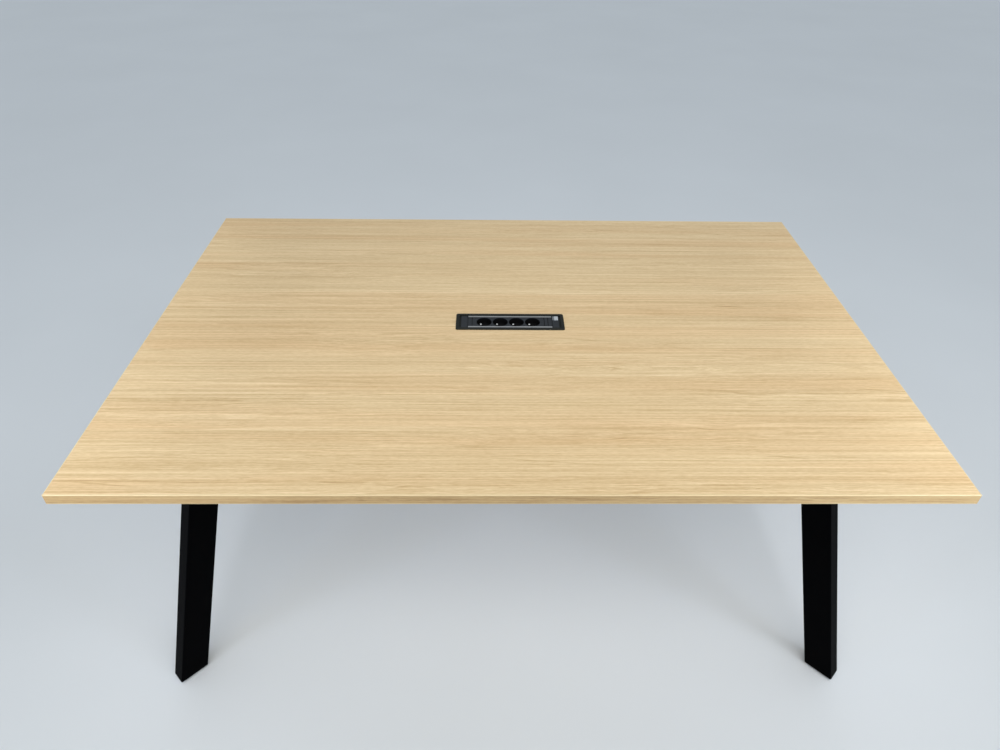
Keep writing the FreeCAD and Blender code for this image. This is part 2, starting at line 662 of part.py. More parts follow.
def make_top_screws():
    head = prism("screw_head_disc", "screw_head", "screw_head_height")
    rod = prism("screw_rod", "screw_diameter", "screw_head_height + tab_thickness + screw_bite")
    screw = DOC.addObject("Part::Fuse", "screw_pattern")
    screw.Base, screw.Tool = head, rod
    group("top_screws", screw, [
        (x, y, "under_top - tab_thickness - screw_head_height", 0) for x, y, _ in fixing_places()
    ])


def make_power_bezel():
    """A rim on the board with a collar down through the cut-out."""
    bezel = body("power_bezel")
    rim = sketch(bezel, "XY_Plane", "table_height")
    centred(rim, "bezel_length", "bezel_width")
    centred(rim, "opening_length", "opening_width")
    frame = pad(bezel, rim, "bezel_thickness")
    frame = soften(
        bezel, frame,
        lambda edge: straight(edge, UP) and near(edge.CenterOfMass.x, "bezel_length / 2"),
        "bezel_corner",
    )
    soften(
        bezel, frame,
        lambda edge: near(edge.BoundBox.ZMin, "table_height + bezel_thickness")
        and not near(edge.CenterOfMass.x, "opening_length / 2")
        and not near(edge.CenterOfMass.y, "opening_width / 2"),
        "min(bezel_edge; bezel_thickness * 0.8)", "Chamfer",
    )
    ring = sketch(bezel, "XY_Plane", "table_height")
    centred(ring, "collar_length", "collar_width")
    centred(ring, "opening_length", "opening_width")
    collar = pad(bezel, ring, "top_thickness + collar_below", back=True)
    collar = soften(
        bezel, collar,
        lambda edge: straight(edge, UP) and near(edge.CenterOfMass.x, "opening_length / 2"),
        "opening_corner",
    )
    soften(
        bezel, collar,
        lambda edge: straight(edge, UP) and near(edge.CenterOfMass.x, "collar_length / 2"),
        "opening_corner + collar_wall",
    )
    holes = sketch(bezel, "YZ_Plane", "-bezel_length / 2")
    for side in (-1, 1):
        polygon(holes, f"{side} * boss_spacing / 2", "face_top - boss_drop", "screw_hole")
    pocket(bezel, holes, "bezel_length", back=True)


def make_socket_channel():
    """An extruded channel with lips over its open side and a screw port in each lower corner."""
    channel = body("socket_channel")
    section = sketch(channel, "YZ_Plane", "-channel_length / 2")
    side, bottom = "channel_width / 2", "-channel_height"
    right_half = [
        ("lip_inside", "0"),
        (side, "0"),
        (side, bottom),
    ]
    inner_right = [
        ("channel_inside - port_block", "channel_floor"),
        ("channel_inside - port_block", "channel_floor + port_block"),
        ("channel_inside", "channel_floor + port_block"),
        ("channel_inside", "-channel_wall"),
        ("lip_inside", "-channel_wall"),
    ]

    def mirrored(corners):
        return [(f"-({y})", z) for y, z in reversed(corners)]

    outline(section, right_half + mirrored(right_half) + mirrored(inner_right) + inner_right)
    for end in (-1, 1):
        polygon(section, f"{end} * port_y", "port_z", "machine_screw")
    pad(channel, section, "channel_length")
    window = sketch(channel, "XY_Plane", "channel_floor")
    length, width = "(inlet_length / 2 + slide_fit)", "(inlet_width / 2 + slide_fit)"
    rectangle(window, f"inlet_x - {length}", f"inlet_x + {length}", f"-{width}", width)
    pocket(channel, window, "channel_wall")
    place(channel, z="face_top")


def make_end_cap(label, side, turn):
    """A block that closes the channel's end. Its bosses reach the collar, and its screws are sunk."""
    cap = body(label)
    face = sketch(cap, "YZ_Plane")
    rectangle(face, "-channel_width / 2", "channel_width / 2", "-end_cap_height", "0")
    block = pad(cap, face, "end_cap_length")
    soften(
        cap, block,
        lambda edge: near(edge.BoundBox.ZMin, "0") and near(edge.BoundBox.ZMax, "0")
        and not (straight(edge, ALONG_Y) and near(edge.CenterOfMass.x, "0")),
        "end_cap_edge", "Chamfer",
    )
    seam = sketch(cap, "XY_Plane")
    rectangle(seam, "0", "seam_width", "-channel_width / 2", "channel_width / 2")
    pocket(cap, seam, "seam_depth")
    bosses = sketch(cap, "YZ_Plane", "end_cap_length")
    threads = sketch(cap, "YZ_Plane", "end_cap_length + end_gap")
    sinks = sketch(cap, "YZ_Plane", "end_cap_length")
    ways = sketch(cap, "YZ_Plane", "cap_wall")
    for end in (-1, 1):
        polygon(bosses, f"{end} * boss_spacing / 2", "-boss_drop", "boss_width")
        polygon(threads, f"{end} * boss_spacing / 2", "-boss_drop", "machine_screw")
        polygon(sinks, f"{end} * port_y", "port_z", "machine_screw_head + 2 * machine_screw_play")
        polygon(ways, f"{end} * port_y", "port_z", "screw_hole")
    pad(cap, bosses, "end_gap")
    pocket(cap, threads, "machine_screw_length - clamp_thickness - collar_wall")
    pocket(cap, sinks, "end_cap_length - cap_wall")
    pocket(cap, ways, "cap_wall")
    place(cap, f"{side} * channel_length / 2", "0", "face_top", turn)


def tee_corners(foot):
    """Section of a piece that slides under the channel's lips, with its face between them."""
    face, shoulder = "(lip_inside - slide_fit)", "(channel_inside - slide_fit)"
    return [
        (face, "-panel_drop"),
        (f"-{face}", "-panel_drop"),
        (f"-{face}", "-channel_wall"),
        (f"-{shoulder}", "-channel_wall"),
        (f"-{shoulder}", foot),
        (shoulder, foot),
        (shoulder, "-channel_wall"),
        (face, "-channel_wall"),
    ]


def turned(across, along):
    """A point of the socket's own turned axes: across both holes, and along the shutter's travel."""
    return (
        f"({across}) * sin(socket_turn) + ({along}) * cos(socket_turn)",
        f"({along}) * sin(socket_turn) - ({across}) * cos(socket_turn)",
    )


def turned_rectangle(drawing, half_across, low, high):
    outline(drawing, [
        turned(f"-({half_across})", low),
        turned(half_across, low),
        turned(half_across, high),
        turned(f"-({half_across})", high),
    ])


def make_socket(number):
    """A moulded insert with its round recess, two plug holes and the shutter's chamber underneath."""
    socket = body(f"socket_{number + 1}")
    section = sketch(socket, "YZ_Plane", "-socket_pitch / 2")
    outline(section, tee_corners("base_top"))
    pad(socket, section, "socket_pitch")
    mouth = sketch(socket, "XY_Plane", "-panel_drop")
    circle(mouth, "0", "0", "recess_diameter")
    pocket(socket, mouth, "recess_depth")
    holes = sketch(socket, "XY_Plane", "-panel_drop - recess_depth")
    polygon(holes, "hole_x", "hole_y", "hole_diameter", PIN_SIDES)
    polygon(holes, "-hole_x", "-hole_y", "hole_diameter", PIN_SIDES)
    pocket(socket, holes, "recess_floor")
    earth = sketch(socket, "XY_Plane", "-panel_drop - recess_depth")
    polygon(earth, "earth_x", "earth_y", "earth_diameter", PIN_SIDES)
    pocket(socket, earth, "recess_floor + chamber_height")
    chamber = sketch(socket, "XY_Plane", "chamber_roof")
    side = "shutter_width / 2 + shutter_gap"
    turned_rectangle(chamber, "shutter_length / 2 + shutter_gap", f"-({side})", f"{side} + shutter_travel")
    pocket(socket, chamber, "chamber_height")
    place(socket, f"first_socket + {number} * socket_pitch", "0", "face_top")


def make_shutter(number):
    """A plate over both plug holes, with a ramp along the edge that a plug's pins push."""
    shutter = body(f"shutter_{number + 1}")
    flat = sketch(shutter, "XY_Plane", "chamber_roof - shutter_gap - shutter_thickness")
    turned_rectangle(flat, "shutter_length / 2", "-shutter_width / 2", "shutter_width / 2")
    plate = pad(shutter, flat, "shutter_thickness")
    turn = math.radians(size_of("socket_turn"))
    travel = FreeCAD.Vector(math.cos(turn), math.sin(turn), 0)
    roof = "chamber_roof - shutter_gap"
    soften(
        shutter, plate,
        lambda edge: near(edge.BoundBox.ZMin, roof) and edge.CenterOfMass.dot(travel) < -0.1,
        "min(shutter_ramp; 0.8 * shutter_thickness)", "Chamfer",
    )
    place(shutter, f"first_socket + {number} * socket_pitch", "0", "face_top")


def make_blank(label, length, ribs, middle):
    """A ribbed blank beside the sockets, open underneath, which stands on the channel's corner blocks."""
    blank = body(label)
    section = sketch(blank, "YZ_Plane", f"-{length} / 2")
    foot, roof = "channel_floor + port_block", "-channel_wall - blank_wall"
    inner = "(channel_inside - slide_fit - blank_wall)"
    corners = tee_corners(foot)
    hollow = [(f"-{inner}", foot), (f"-{inner}", roof), (inner, roof), (inner, foot)]
    outline(section, corners[:5] + hollow + corners[5:])
    pad(blank, section, length)
    gap = sketch(blank, "XY_Plane", "-panel_drop")
    first = f"{length} * (1 / {ribs} - 0.5)"
    rectangle(gap, f"{first} - groove_width / 2", f"{first} + groove_width / 2", "-lip_inside", "lip_inside")
    groove = pocket(blank, gap, "groove_depth")
    count = round(size_of(ribs)) - 1
    if count > 1:
        linear_pattern(blank, groove, f"{length} / {ribs}", count)
    place(blank, middle, "0", "face_top")


def make_contact_base():
    """A moulding under all the sockets, with a trough for each busbar and a seat for the earth strip."""
    base = body("contact_base")
    section = sketch(base, "YZ_Plane", "sockets_left")
    side, foot = "channel_inside - slide_fit", "channel_inside - port_block - slide_fit"
    step = "channel_floor + port_block + slide_fit"
    outline(section, [
        (side, "base_top"),
        (f"-({side})", "base_top"),
        (f"-({side})", step),
        (f"-({foot})", step),
        (f"-({foot})", "channel_floor"),
        (foot, "channel_floor"),
        (foot, step),
        (side, step),
    ])
    pad(base, section, "4 * socket_pitch")
    seat = sketch(base, "XY_Plane", "base_top")
    left, right = "sockets_left + base_end_wall", "sockets_right - base_end_wall"
    front = "min(hole_y - trough_half; earth_y - ear_width / 2 - leaf_play)"
    rectangle(seat, left, right, front, "-hole_y + trough_half")
    pocket(base, seat, "earth_strip")
    troughs = sketch(base, "XY_Plane", "base_top")
    for end in (-1, 1):
        rectangle(troughs, left, right, f"{end} * hole_y - trough_half", f"{end} * hole_y + trough_half")
    pocket(base, troughs, "trough_depth")
    place(base, z="face_top")


def make_busbar(label, turn):
    """A strip with a spring clip under each socket's hole. The neutral one is the live one turned round."""
    busbar = body(label)
    start = "-2 * socket_pitch + base_end_wall + leaf_play"
    strip = sketch(busbar, "YZ_Plane", start)
    outer = "hole_y - clip_half"
    rectangle(strip, outer, f"{outer} + leaf_thickness", "trough_floor", "trough_floor + busbar_height")
    pad(busbar, strip, "4 * socket_pitch - 2 * (base_end_wall + leaf_play)")
    clip = sketch(busbar, "YZ_Plane", "-1.5 * socket_pitch + hole_x - clip_length / 2")
    web, top = "trough_floor + leaf_thickness", "trough_floor + clip_height"
    outline(clip, [
        (outer, "trough_floor"),
        ("hole_y + clip_half", "trough_floor"),
        ("hole_y + clip_half", top),
        ("hole_y + leaf_gap / 2", top),
        ("hole_y + leaf_gap / 2", web),
        ("hole_y - leaf_gap / 2", web),
        ("hole_y - leaf_gap / 2", top),
        (outer, top),
    ])
    spring = pad(busbar, clip, "clip_length")
    linear_pattern(busbar, spring, "socket_pitch", len(SOCKETS))
    place(busbar, "sockets_middle", "0", "face_top", turn)


def make_earth_busbar():
    busbar = body("earth_busbar")
    flat = sketch(busbar, "XY_Plane", "base_top - earth_strip")
    left, right = "sockets_left + base_end_wall + leaf_play", "sockets_right - base_end_wall - leaf_play"
    rectangle(flat, left, right, "hole_y + trough_half", "-hole_y - trough_half")
    pad(busbar, flat, "earth_strip")
    ears = sketch(busbar, "XY_Plane", "base_top - earth_strip")
    middle = "first_socket + earth_x"
    low, high = "earth_y - ear_width / 2", "earth_y + ear_width / 2"
    rectangle(ears, f"{middle} - ear_width / 2", f"{middle} + ear_width / 2", low, high)
    ear = pad(busbar, ears, "earth_strip")
    linear_pattern(busbar, ear, "socket_pitch", len(SOCKETS))
    holes = sketch(busbar, "XY_Plane", "base_top")
    for number in SOCKETS:
        polygon(holes, f"{middle} + {number} * socket_pitch", "earth_y", "earth_diameter", PIN_SIDES)
    pocket(busbar, holes, "earth_strip")
    place(busbar, z="face_top")


def make_earth_pins():
    pin = master("earth_pin_pattern")
    root = sketch(pin, "XY_Plane", "base_top - earth_strip")
    polygon(root, "0", "0", "earth_diameter", PIN_SIDES)
    rod = pad(pin, root, "-panel_drop - earth_drop - base_top + earth_strip")
    soften(
        pin, rod,
        lambda edge: near(edge.BoundBox.ZMin, "panel_drop + earth_drop"),
        "min(earth_tip; 0.4 * earth_diameter)", "Chamfer",
    )
    group("earth_pins", pin, [
        (f"first_socket + {number} * socket_pitch + earth_x", "earth_y", "face_top", 0) for number in SOCKETS
    ])


def make_unit_clamps():
    """An angle at each end that hooks under the board and is screwed to the collar."""
    clamp = master("clamp_pattern")
    angle = sketch(clamp, "XZ_Plane", "-clamp_width / 2")
    inner, outer, foot = "clamp_thickness", "clamp_reach", "-clamp_screw_drop - clamp_edge"
    outline(angle, [
        ("0", "0"),
        (outer, "0"),
        (outer, "-clamp_thickness"),
        (inner, "-clamp_thickness"),
        (inner, foot),
        ("0", foot),
    ])
    pad(clamp, angle, "clamp_width")
    holes = sketch(clamp, "YZ_Plane", "clamp_thickness")
    for end in (-1, 1):
        polygon(holes, f"{end} * boss_spacing / 2", "-clamp_screw_drop", "screw_hole")
    pocket(clamp, holes, "clamp_thickness")
    group("unit_clamps", clamp, [
        (f"{side} * collar_length / 2", "0", "under_top", 90 - 90 * side) for side in (-1, 1)
    ])


def make_unit_screws():
    """Equal screws for the clamps and for the end caps, heads outwards."""
    screw = master("machine_screw_pattern")
    thread = sketch(screw, "YZ_Plane", "-machine_screw_length")
    polygon(thread, "0", "0", "machine_screw")
    pad(screw, thread, "machine_screw_length")
    top = sketch(screw, "YZ_Plane")
    polygon(top, "0", "0", "machine_screw_head")
    pad(screw, top, "machine_screw_head_height")
    clamp_face, sunk_face = "(collar_length / 2 + clamp_thickness)", "(channel_length / 2 + cap_wall)"
    spots = []
    for side in (-1, 1):
        turn = 90 - 90 * side
        clamp_x, sunk_x = f"{side} * {clamp_face}", f"{side} * {sunk_face}"
        for end in (-1, 1):
            spots.append((clamp_x, f"{end} * boss_spacing / 2", "face_top - boss_drop", turn))
            spots.append((sunk_x, f"{end} * port_y", "face_top + port_z", turn))
    group("unit_screws", screw, spots)


def blade_section(drawing, y):
    half = "blade_thickness / 2"
    rectangle(drawing, "-blade_width / 2", "blade_width / 2", f"{y} - {half}", f"{y} + {half}")


def make_power_inlet():
    """A rimmed socket in the channel's floor, open downwards."""
    inlet = body("power_inlet")
    rim = sketch(inlet, "XY_Plane", "-inlet_flange_height")
    centred(rim, "inlet_length + 2 * inlet_flange", "inlet_width + 2 * inlet_flange")
    flange = pad(inlet, rim, "inlet_flange_height")
    soften(inlet, flange, lambda edge: straight(edge, UP), "inlet_flange", "Chamfer")
    shell = sketch(inlet, "XY_Plane")
    centred(shell, "inlet_length", "inlet_width")
    pad(inlet, shell, "inlet_height")
    mouth = sketch(inlet, "XY_Plane", "-inlet_flange_height")
    centred(mouth, "inlet_length - 2 * inlet_wall", "inlet_width - 2 * inlet_wall")
    pocket(inlet, mouth, "inlet_height + inlet_flange_height - inlet_wall", back=True)
    seats = sketch(inlet, "XY_Plane", "inlet_height")
    for step in (-1, 0, 1):
        blade_section(seats, f"{step} * blade_pitch")
    pocket(inlet, seats, "inlet_wall")
    place(inlet, "inlet_x", "0", "face_top - channel_height")

    blade = master("inlet_blade_pattern")
    root = sketch(blade, "XY_Plane", "blade_drop - inlet_flange_height")
    blade_section(root, "0")
    pad(blade, root, "inlet_height + inlet_flange_height - blade_drop")
    group("inlet_blades", blade, [
        ("inlet_x", f"{step} * blade_pitch", "face_top - channel_height", 0) for step in (-1, 0, 1)
    ])


def make_table():
    make_top_panel()
    make_edge_bands()
    for corner, (side_x, side_y, turn) in CORNERS.items():
        make_leg(corner, side_x, side_y, turn)
        make_foot_cap(corner, side_x, side_y, turn)
        make_levelling_foot(corner, side_x, side_y, turn)
        make_leg_plate(corner, side_x, side_y, turn)
    make_foot_inserts()
    make_rails()
    make_rail_end_caps()
    make_leg_bolts()
    make_weld_nuts()
    make_fixing_tabs()
    make_top_screws()


def make_power_unit():
    make_power_bezel()
    make_socket_channel()
    make_end_cap("end_cap_left", -1, 180)
    make_end_cap("end_cap_right", 1, 0)
    for number in SOCKETS:
        make_socket(number)
        make_shutter(number)
    make_blank("blank_left", "left_blank", "left_ribs", "(sockets_left - channel_length / 2) / 2")
    make_blank("blank_right", "right_blank", "right_ribs", "inlet_x")
    make_contact_base()
    make_busbar("live_busbar", 0)
    make_busbar("neutral_busbar", 180)
    make_earth_busbar()
    make_earth_pins()
    make_unit_clamps()
    make_unit_screws()
    make_power_inlet()


def write_parts():
    """Writes each sub-part's solids, once every object of the document is known to be sound."""
    DOC.recompute()
    for thing in DOC.Objects:
        if {"Invalid", "Error"} & set(thing.State):
            raise RuntimeError(f"{thing.Label} failed: {thing.State}")
    for piece in SUBPARTS:
        if piece.Shape.isNull() or not piece.Shape.isValid() or not piece.Shape.Solids:
            raise RuntimeError(f"{piece.Label} has no sound solid")
    os.makedirs("parts", exist_ok=True)
    for piece in SUBPARTS:
        piece.Shape.exportStep(f"parts/{piece.Label}.step")
    print(len(SUBPARTS), "sub-parts,", sum(len(piece.Shape.Solids) for piece in SUBPARTS), "solids")


make_sheet("Sizes", SIZES, "")
make_sheet("Places", PLACES, "=")
make_table()
make_power_unit()
write_parts()
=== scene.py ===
import json
import math

import bmesh
import bpy
from mathutils import Matrix, Vector


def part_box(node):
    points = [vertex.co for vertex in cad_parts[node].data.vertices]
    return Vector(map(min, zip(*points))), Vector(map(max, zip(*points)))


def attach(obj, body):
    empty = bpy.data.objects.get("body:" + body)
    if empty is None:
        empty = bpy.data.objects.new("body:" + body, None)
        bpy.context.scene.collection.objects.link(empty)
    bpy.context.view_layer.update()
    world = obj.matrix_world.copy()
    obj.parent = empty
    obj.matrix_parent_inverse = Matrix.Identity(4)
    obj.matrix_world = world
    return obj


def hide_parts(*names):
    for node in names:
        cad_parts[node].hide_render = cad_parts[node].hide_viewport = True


# A conference table: a top in oak decor on four splayed black steel legs, with a mains socket unit
# let into its middle. Metres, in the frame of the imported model: the origin is on the floor under
# the middle of the top.

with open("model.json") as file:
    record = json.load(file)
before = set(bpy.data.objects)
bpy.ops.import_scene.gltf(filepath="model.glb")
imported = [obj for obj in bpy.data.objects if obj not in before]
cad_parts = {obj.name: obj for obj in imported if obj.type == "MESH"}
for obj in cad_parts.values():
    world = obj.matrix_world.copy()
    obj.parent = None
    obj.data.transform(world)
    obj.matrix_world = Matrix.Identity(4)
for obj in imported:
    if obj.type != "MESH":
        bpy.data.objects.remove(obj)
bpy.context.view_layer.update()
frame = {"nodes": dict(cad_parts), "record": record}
MM = 0.001
TABLE = "table"
CORNERS = {
    "front_left": (-1, -1),
    "front_right": (1, -1),
    "back_right": (1, 1),
    "back_left": (-1, 1),
}

# The camera: a phone's wide lens in a standing person's hands, in front of the table and looking down
CAMERA_PLACE = (-0.0583, -1.5446, 1.7577)
CAMERA_PITCH = 0.6562
CAMERA_YAW = -0.0225
CAMERA_ROLL = 0.0168
PICTURE_WIDTH = 1000
FOCAL_LENGTH_PIXELS = 716.42
SENSOR_WIDTH = 36.0

# The studio: a pale surround, a wide soft light from the ceiling, a large panel in front of the
# table, a small one off each front corner, and a strip above each end of the top
SURROUND = "#C9D2DA"
SURROUND_STRENGTH = 0.72
CEILING_STRENGTH = 0.48
CEILING_SPREAD = math.radians(120)
WIDE_BEAM = math.radians(180)
NARROW_BEAM = math.radians(50)
PANELS = [
    # name, place, aimed at, length, width,
    # watts, colour, spread of the beam, whether shiny faces mirror it
    ("panel_front", (0.3, -1.9, 3.0), (0.0, -0.5, 0.7), 4.4, 1.4,
     52, "#FFFCF7", WIDE_BEAM, True),
    ("panel_left", (-1.8, -1.55, 1.05), (-0.85, -0.6, 0.72), 0.7, 0.5,
     2.5, "#DCE9FF", NARROW_BEAM, False),
    ("panel_right", (1.8, -1.55, 1.05), (0.85, -0.6, 0.72), 0.7, 0.5,
     2.7, "#DCE9FF", NARROW_BEAM, False),
    ("strip_left", (-0.99, -0.1, 1.5), (-0.99, -0.1, 0.74), 0.06, 1.4,
     0.3, "#F2F6FF", NARROW_BEAM, False),
    ("strip_right", (0.99, -0.15, 1.5), (0.99, -0.15, 0.74), 0.06, 1.2,
     0.3, "#F2F6FF", NARROW_BEAM, False),
]
FLOOR_COLOUR = "#DDE1E4"
FLOOR_SIZE = 400.0

# Oak decor: light, middle and dark tones of the top and of its edging. The edging is a little darker
# than the top, and its tones are darker still as painted shade on its upright faces
OAK = ("#F0D7AC", "#D9BD8F", "#BC9765")
SHADED_EDGE_OAK = ("#C6AB7D", "#B69767", "#8B6A3F")
OAK_ROUGHNESS = 0.45
# Painted highlight on the edging's arrises: its tone, and the heights where it begins and is full
ARRIS_HIGHLIGHT_OAK = "#DCC496"
PAINTED_ARRIS_HEIGHTS = [(0.7372, 0.7380), (0.7168, 0.7162)]
# The grain's marks: length and width in millimetres, detail, and share of the shade
GRAIN = [
    (3000, 60, 1.5, 0.6),
    (2600, 22, 1.5, 0.32),
    (1800, 6.0, 2.0, 0.3),
    (1300, 2.2, 2.0, 2.4),
    (70, 1.8, 2.0, 0.9),
    (14, 1.8, 1.0, 1.1),
]
GRAIN_ROUGHNESS = 0.55
# Single lines in it: length, spacing and width in millimetres, and share of the shade
GRAIN_LINES = [
    (1800, 14, 1.6, 0.4),
    (2600, 26, 1.5, -0.45),
    (1800, 60, 2.0, -0.4),
]
# The marks along a line, a share of its length, and their levels where it begins to show and is full
LINE_MARKS = 0.25
LINE_LEVELS = (0.46, 0.6)
# How the lines wander: metres to the side, and the size of the wanderings in millimetres. Figured
# patches, where they wander most: size, levels of the edge, and shares outside and inside.
GRAIN_WANDER = 0.04
WANDER_SIZE = (330, 55, 55)
FIGURE_SIZE = (650, 110, 110)
FIGURE_LEVELS = (0.5, 0.75)
FIGURE_SHARES = (0.1, 1.0)
# Short dark flecks: size in millimetres, detail, slant to the grain, levels where they begin and are
# full, and share of the shade
FLECK_SIZE = (170, 6, 6)
FLECK_DETAIL = 0.5
FLECK_SLANT = math.radians(5)
FLECK_LEVELS = (0.74, 0.86)
FLECK_SHARE = 0.7
# Redder bands: tone, size in millimetres, levels where they begin and are full, and share of the tone
BLUSH = "#F6E4D4"
BLUSH_SIZE = (1600, 48, 48)
BLUSH_LEVELS = (0.45, 0.7)
BLUSH_SHARE = 0.4
# Pores: size in millimetres, levels where they begin and are full, share of the dark tone, and relief
PORE_SIZE = (22, 1.0, 1.0)
PORE_LEVELS = (0.58, 0.72)
PORE_SHARE = 0.25
PORE_DEPTH = 0.1 * MM
PORE_STRENGTH = 0.4

# Sizes of the detail pieces, in metres
TOP_SCREW = {
    "Head_Width": 9.5 * MM, "Head_Height": 3 * MM,
    "Shank_Width": 4.8 * MM, "Shank_Length": 19 * MM,
    "Recess_Width": 5.2 * MM, "Recess_Slot": 1.1 * MM, "Recess_Depth": 1.9 * MM,
}
UNIT_SCREW = {
    "Head_Width": 7 * MM, "Head_Height": 2.6 * MM,
    "Shank_Width": 3.9 * MM, "Shank_Length": 16 * MM,
    "Recess_Width": 4.2 * MM, "Recess_Slot": 0.9 * MM, "Recess_Depth": 1.7 * MM,
}
LEG_BOLT = {
    "Head_Width": 13 * MM, "Head_Height": 5.3 * MM,
    "Shank_Width": 7.9 * MM, "Shank_Length": 16.5 * MM,
    "Crown": 1.35,
}
# How far a shank runs up into its head
SCREW_OVERLAP = 0.3 * MM
BOLT_OVERLAP = 0.5 * MM
# A hexagon's width across its flats over the radius of its corners, and the radius of the cone that
# turns these off, at its upper end, as a share of the width
HEXAGON = 2 * math.cos(math.pi / 6)
CROWN_TIP = 0.46
# Flute_Depth and Rim_Round are shares of the disc's radius
LEVELLING_FOOT = {
    "Disc_Width": 32 * MM, "Disc_Height": 6 * MM, "Flutes": 16, "Flute_Depth": 0.05, "Rim_Round": 0.07,
    "Stud_Width": 7.9 * MM, "Stud_Length": 26.3 * MM, "Thread_Pitch": 1.25 * MM,
}
# Powers that make the flutes narrow and keep the rounding near the faces, and the radius of the
# thread's ridge as a share of its pitch
FLUTE_POWER = 3.0
RIM_POWER = 6.0
THREAD_RIDGE = 0.42
EARTH_PIN = {"Pin_Width": 4.8 * MM, "Tip_Height": 0.9 * MM}
# Points of a pin's tip that are lower than this belong to its lower half
PIN_LOWER = -0.01 * MM
# Ripple_Height is a share of the bead's radius
WELD = {"Bead_Width": 5 * MM, "Ripple_Spacing": 3.2 * MM, "Ripple_Height": 0.12}
RIPPLE_STEPS = 8
LEG_HEAD_PLACE = (0.6842, 0.3842, 0.659)
LEG_HEAD_SIZE = (73.16 * MM, 40 * MM)
LEG_HEAD_CORNER = 3.5 * MM
# The small blank plate on the right-hand end cap: its middle, half sizes, two tones and the soft
# line between them
PLATE_MIDDLE = (117.1 * MM, 16.4 * MM)
PLATE_HALF = (7.4 * MM, 8.9 * MM)
PLATE_THICKNESS = 0.3 * MM
PLATE_CORNER = 1.0 * MM
PLATE_TONES = ("#606365", "#A9ACAE")
PLATE_BLUR = 0.1 * MM
# The bezel's inner flange, round the unit: half sizes and corner of its outside and its inside, its
# height and its thickness
FLANGE_OUTSIDE = (130.5 * MM, 28 * MM, 3 * MM)
FLANGE_INSIDE = (126.3 * MM, 26.3 * MM, 0.5 * MM)
FLANGE_TOP = 0.7395
FLANGE_THICKNESS = 1.2 * MM
# Steps round a corner, the angle from which an edge stays sharp, and the distance between points of
# the same corner
CORNER_STEPS = 4
SHARP_ANGLE = math.radians(35)
SAME_POINT = 0.001 * MM

# Blender's colour Mix node numbers its sockets
MIX_A, MIX_B, MIX_RESULT = 6, 7, 2
BLEND = {"data_type": "RGBA"}
TINT = {"data_type": "RGBA", "blend_type": "MULTIPLY"}
# Most of a noise lies between these levels
NOISE_SPAN = (0.3, 0.7)


# Small helpers for node trees and colours

def linear(hex_colour):
    """An sRGB colour such as #D8BC90 as linear red, green, blue and alpha."""
    parts = [int(hex_colour[i:i + 2], 16) / 255 for i in (1, 3, 5)]
    return tuple(p / 12.92 if p <= 0.04045 else ((p + 0.055) / 1.055) ** 2.4 for p in parts) + (1.0,)


def add(tree, kind, inputs=(), output=0, **settings):
    """Adds a node with its settings and gives one of its outputs. Its inputs are linked or set in
    their order, or by name or number. A list is several links to one input."""
    node = tree.nodes.new(kind)
    for name, value in settings.items():
        setattr(node, name, value)
    for name, value in inputs.items() if isinstance(inputs, dict) else enumerate(inputs):
        for part in value if isinstance(value, list) else [value]:
            if isinstance(part, bpy.types.NodeSocket):
                tree.links.new(part, node.inputs[name])
            else:
                node.inputs[name].default_value = part
    return node.outputs[output] if len(node.outputs) else None


def new_material(name):
    """An empty material, and the Object coordinates that all patterns are drawn on."""
    material = bpy.data.materials.new(name)
    material.use_nodes = True
    tree = material.node_tree
    tree.nodes.clear()
    return material, tree, add(tree, "ShaderNodeTexCoord", output="Object")


def finish_material(tree, **inputs):
    """The surface itself. A keyword such as Base_Color is the input named Base Color."""
    named = {name.replace("_", " "): value for name, value in inputs.items()}
    surface = add(tree, "ShaderNodeBsdfPrincipled", named)
    add(tree, "ShaderNodeOutputMaterial", {"Surface": surface})


def marks(tree, place, size, detail=2.0, roughness=0.5):
    """Soft marks from 0 to 1, of a size in millimetres along X, Y and Z."""
    scale = tuple(1 / (s * MM) for s in size)
    scaled = add(tree, "ShaderNodeMapping", {"Vector": place, "Scale": scale})
    return add(tree, "ShaderNodeTexNoise", {
        "Vector": scaled, "Scale": 1.0, "Detail": detail, "Roughness": roughness,
    })


def clouded(tree, place, colour, size, spread, detail=2.0):
    """A colour that is lighter and darker by the spread, in soft patches of a size in millimetres."""
    patches = marks(tree, place, (size, size, size), detail)
    patches = add(tree, "ShaderNodeMapRange", [patches, *NOISE_SPAN, 1 - spread, 1 + spread])
    return add(tree, "ShaderNodeMix", {0: 1.0, MIX_A: colour, MIX_B: patches}, MIX_RESULT, **TINT)


def textured(tree, texture, roughness, spread, depth, strength):
    """The roughness and the relief that a fine texture gives, its depth in millimetres."""
    low, high = roughness - spread, roughness + spread
    gloss = add(tree, "ShaderNodeMapRange", [texture, *NOISE_SPAN, low, high])
    relief = add(tree, "ShaderNodeBump", {
        "Height": texture, "Distance": depth * MM, "Strength": strength,
    })
    return gloss, relief


# Materials

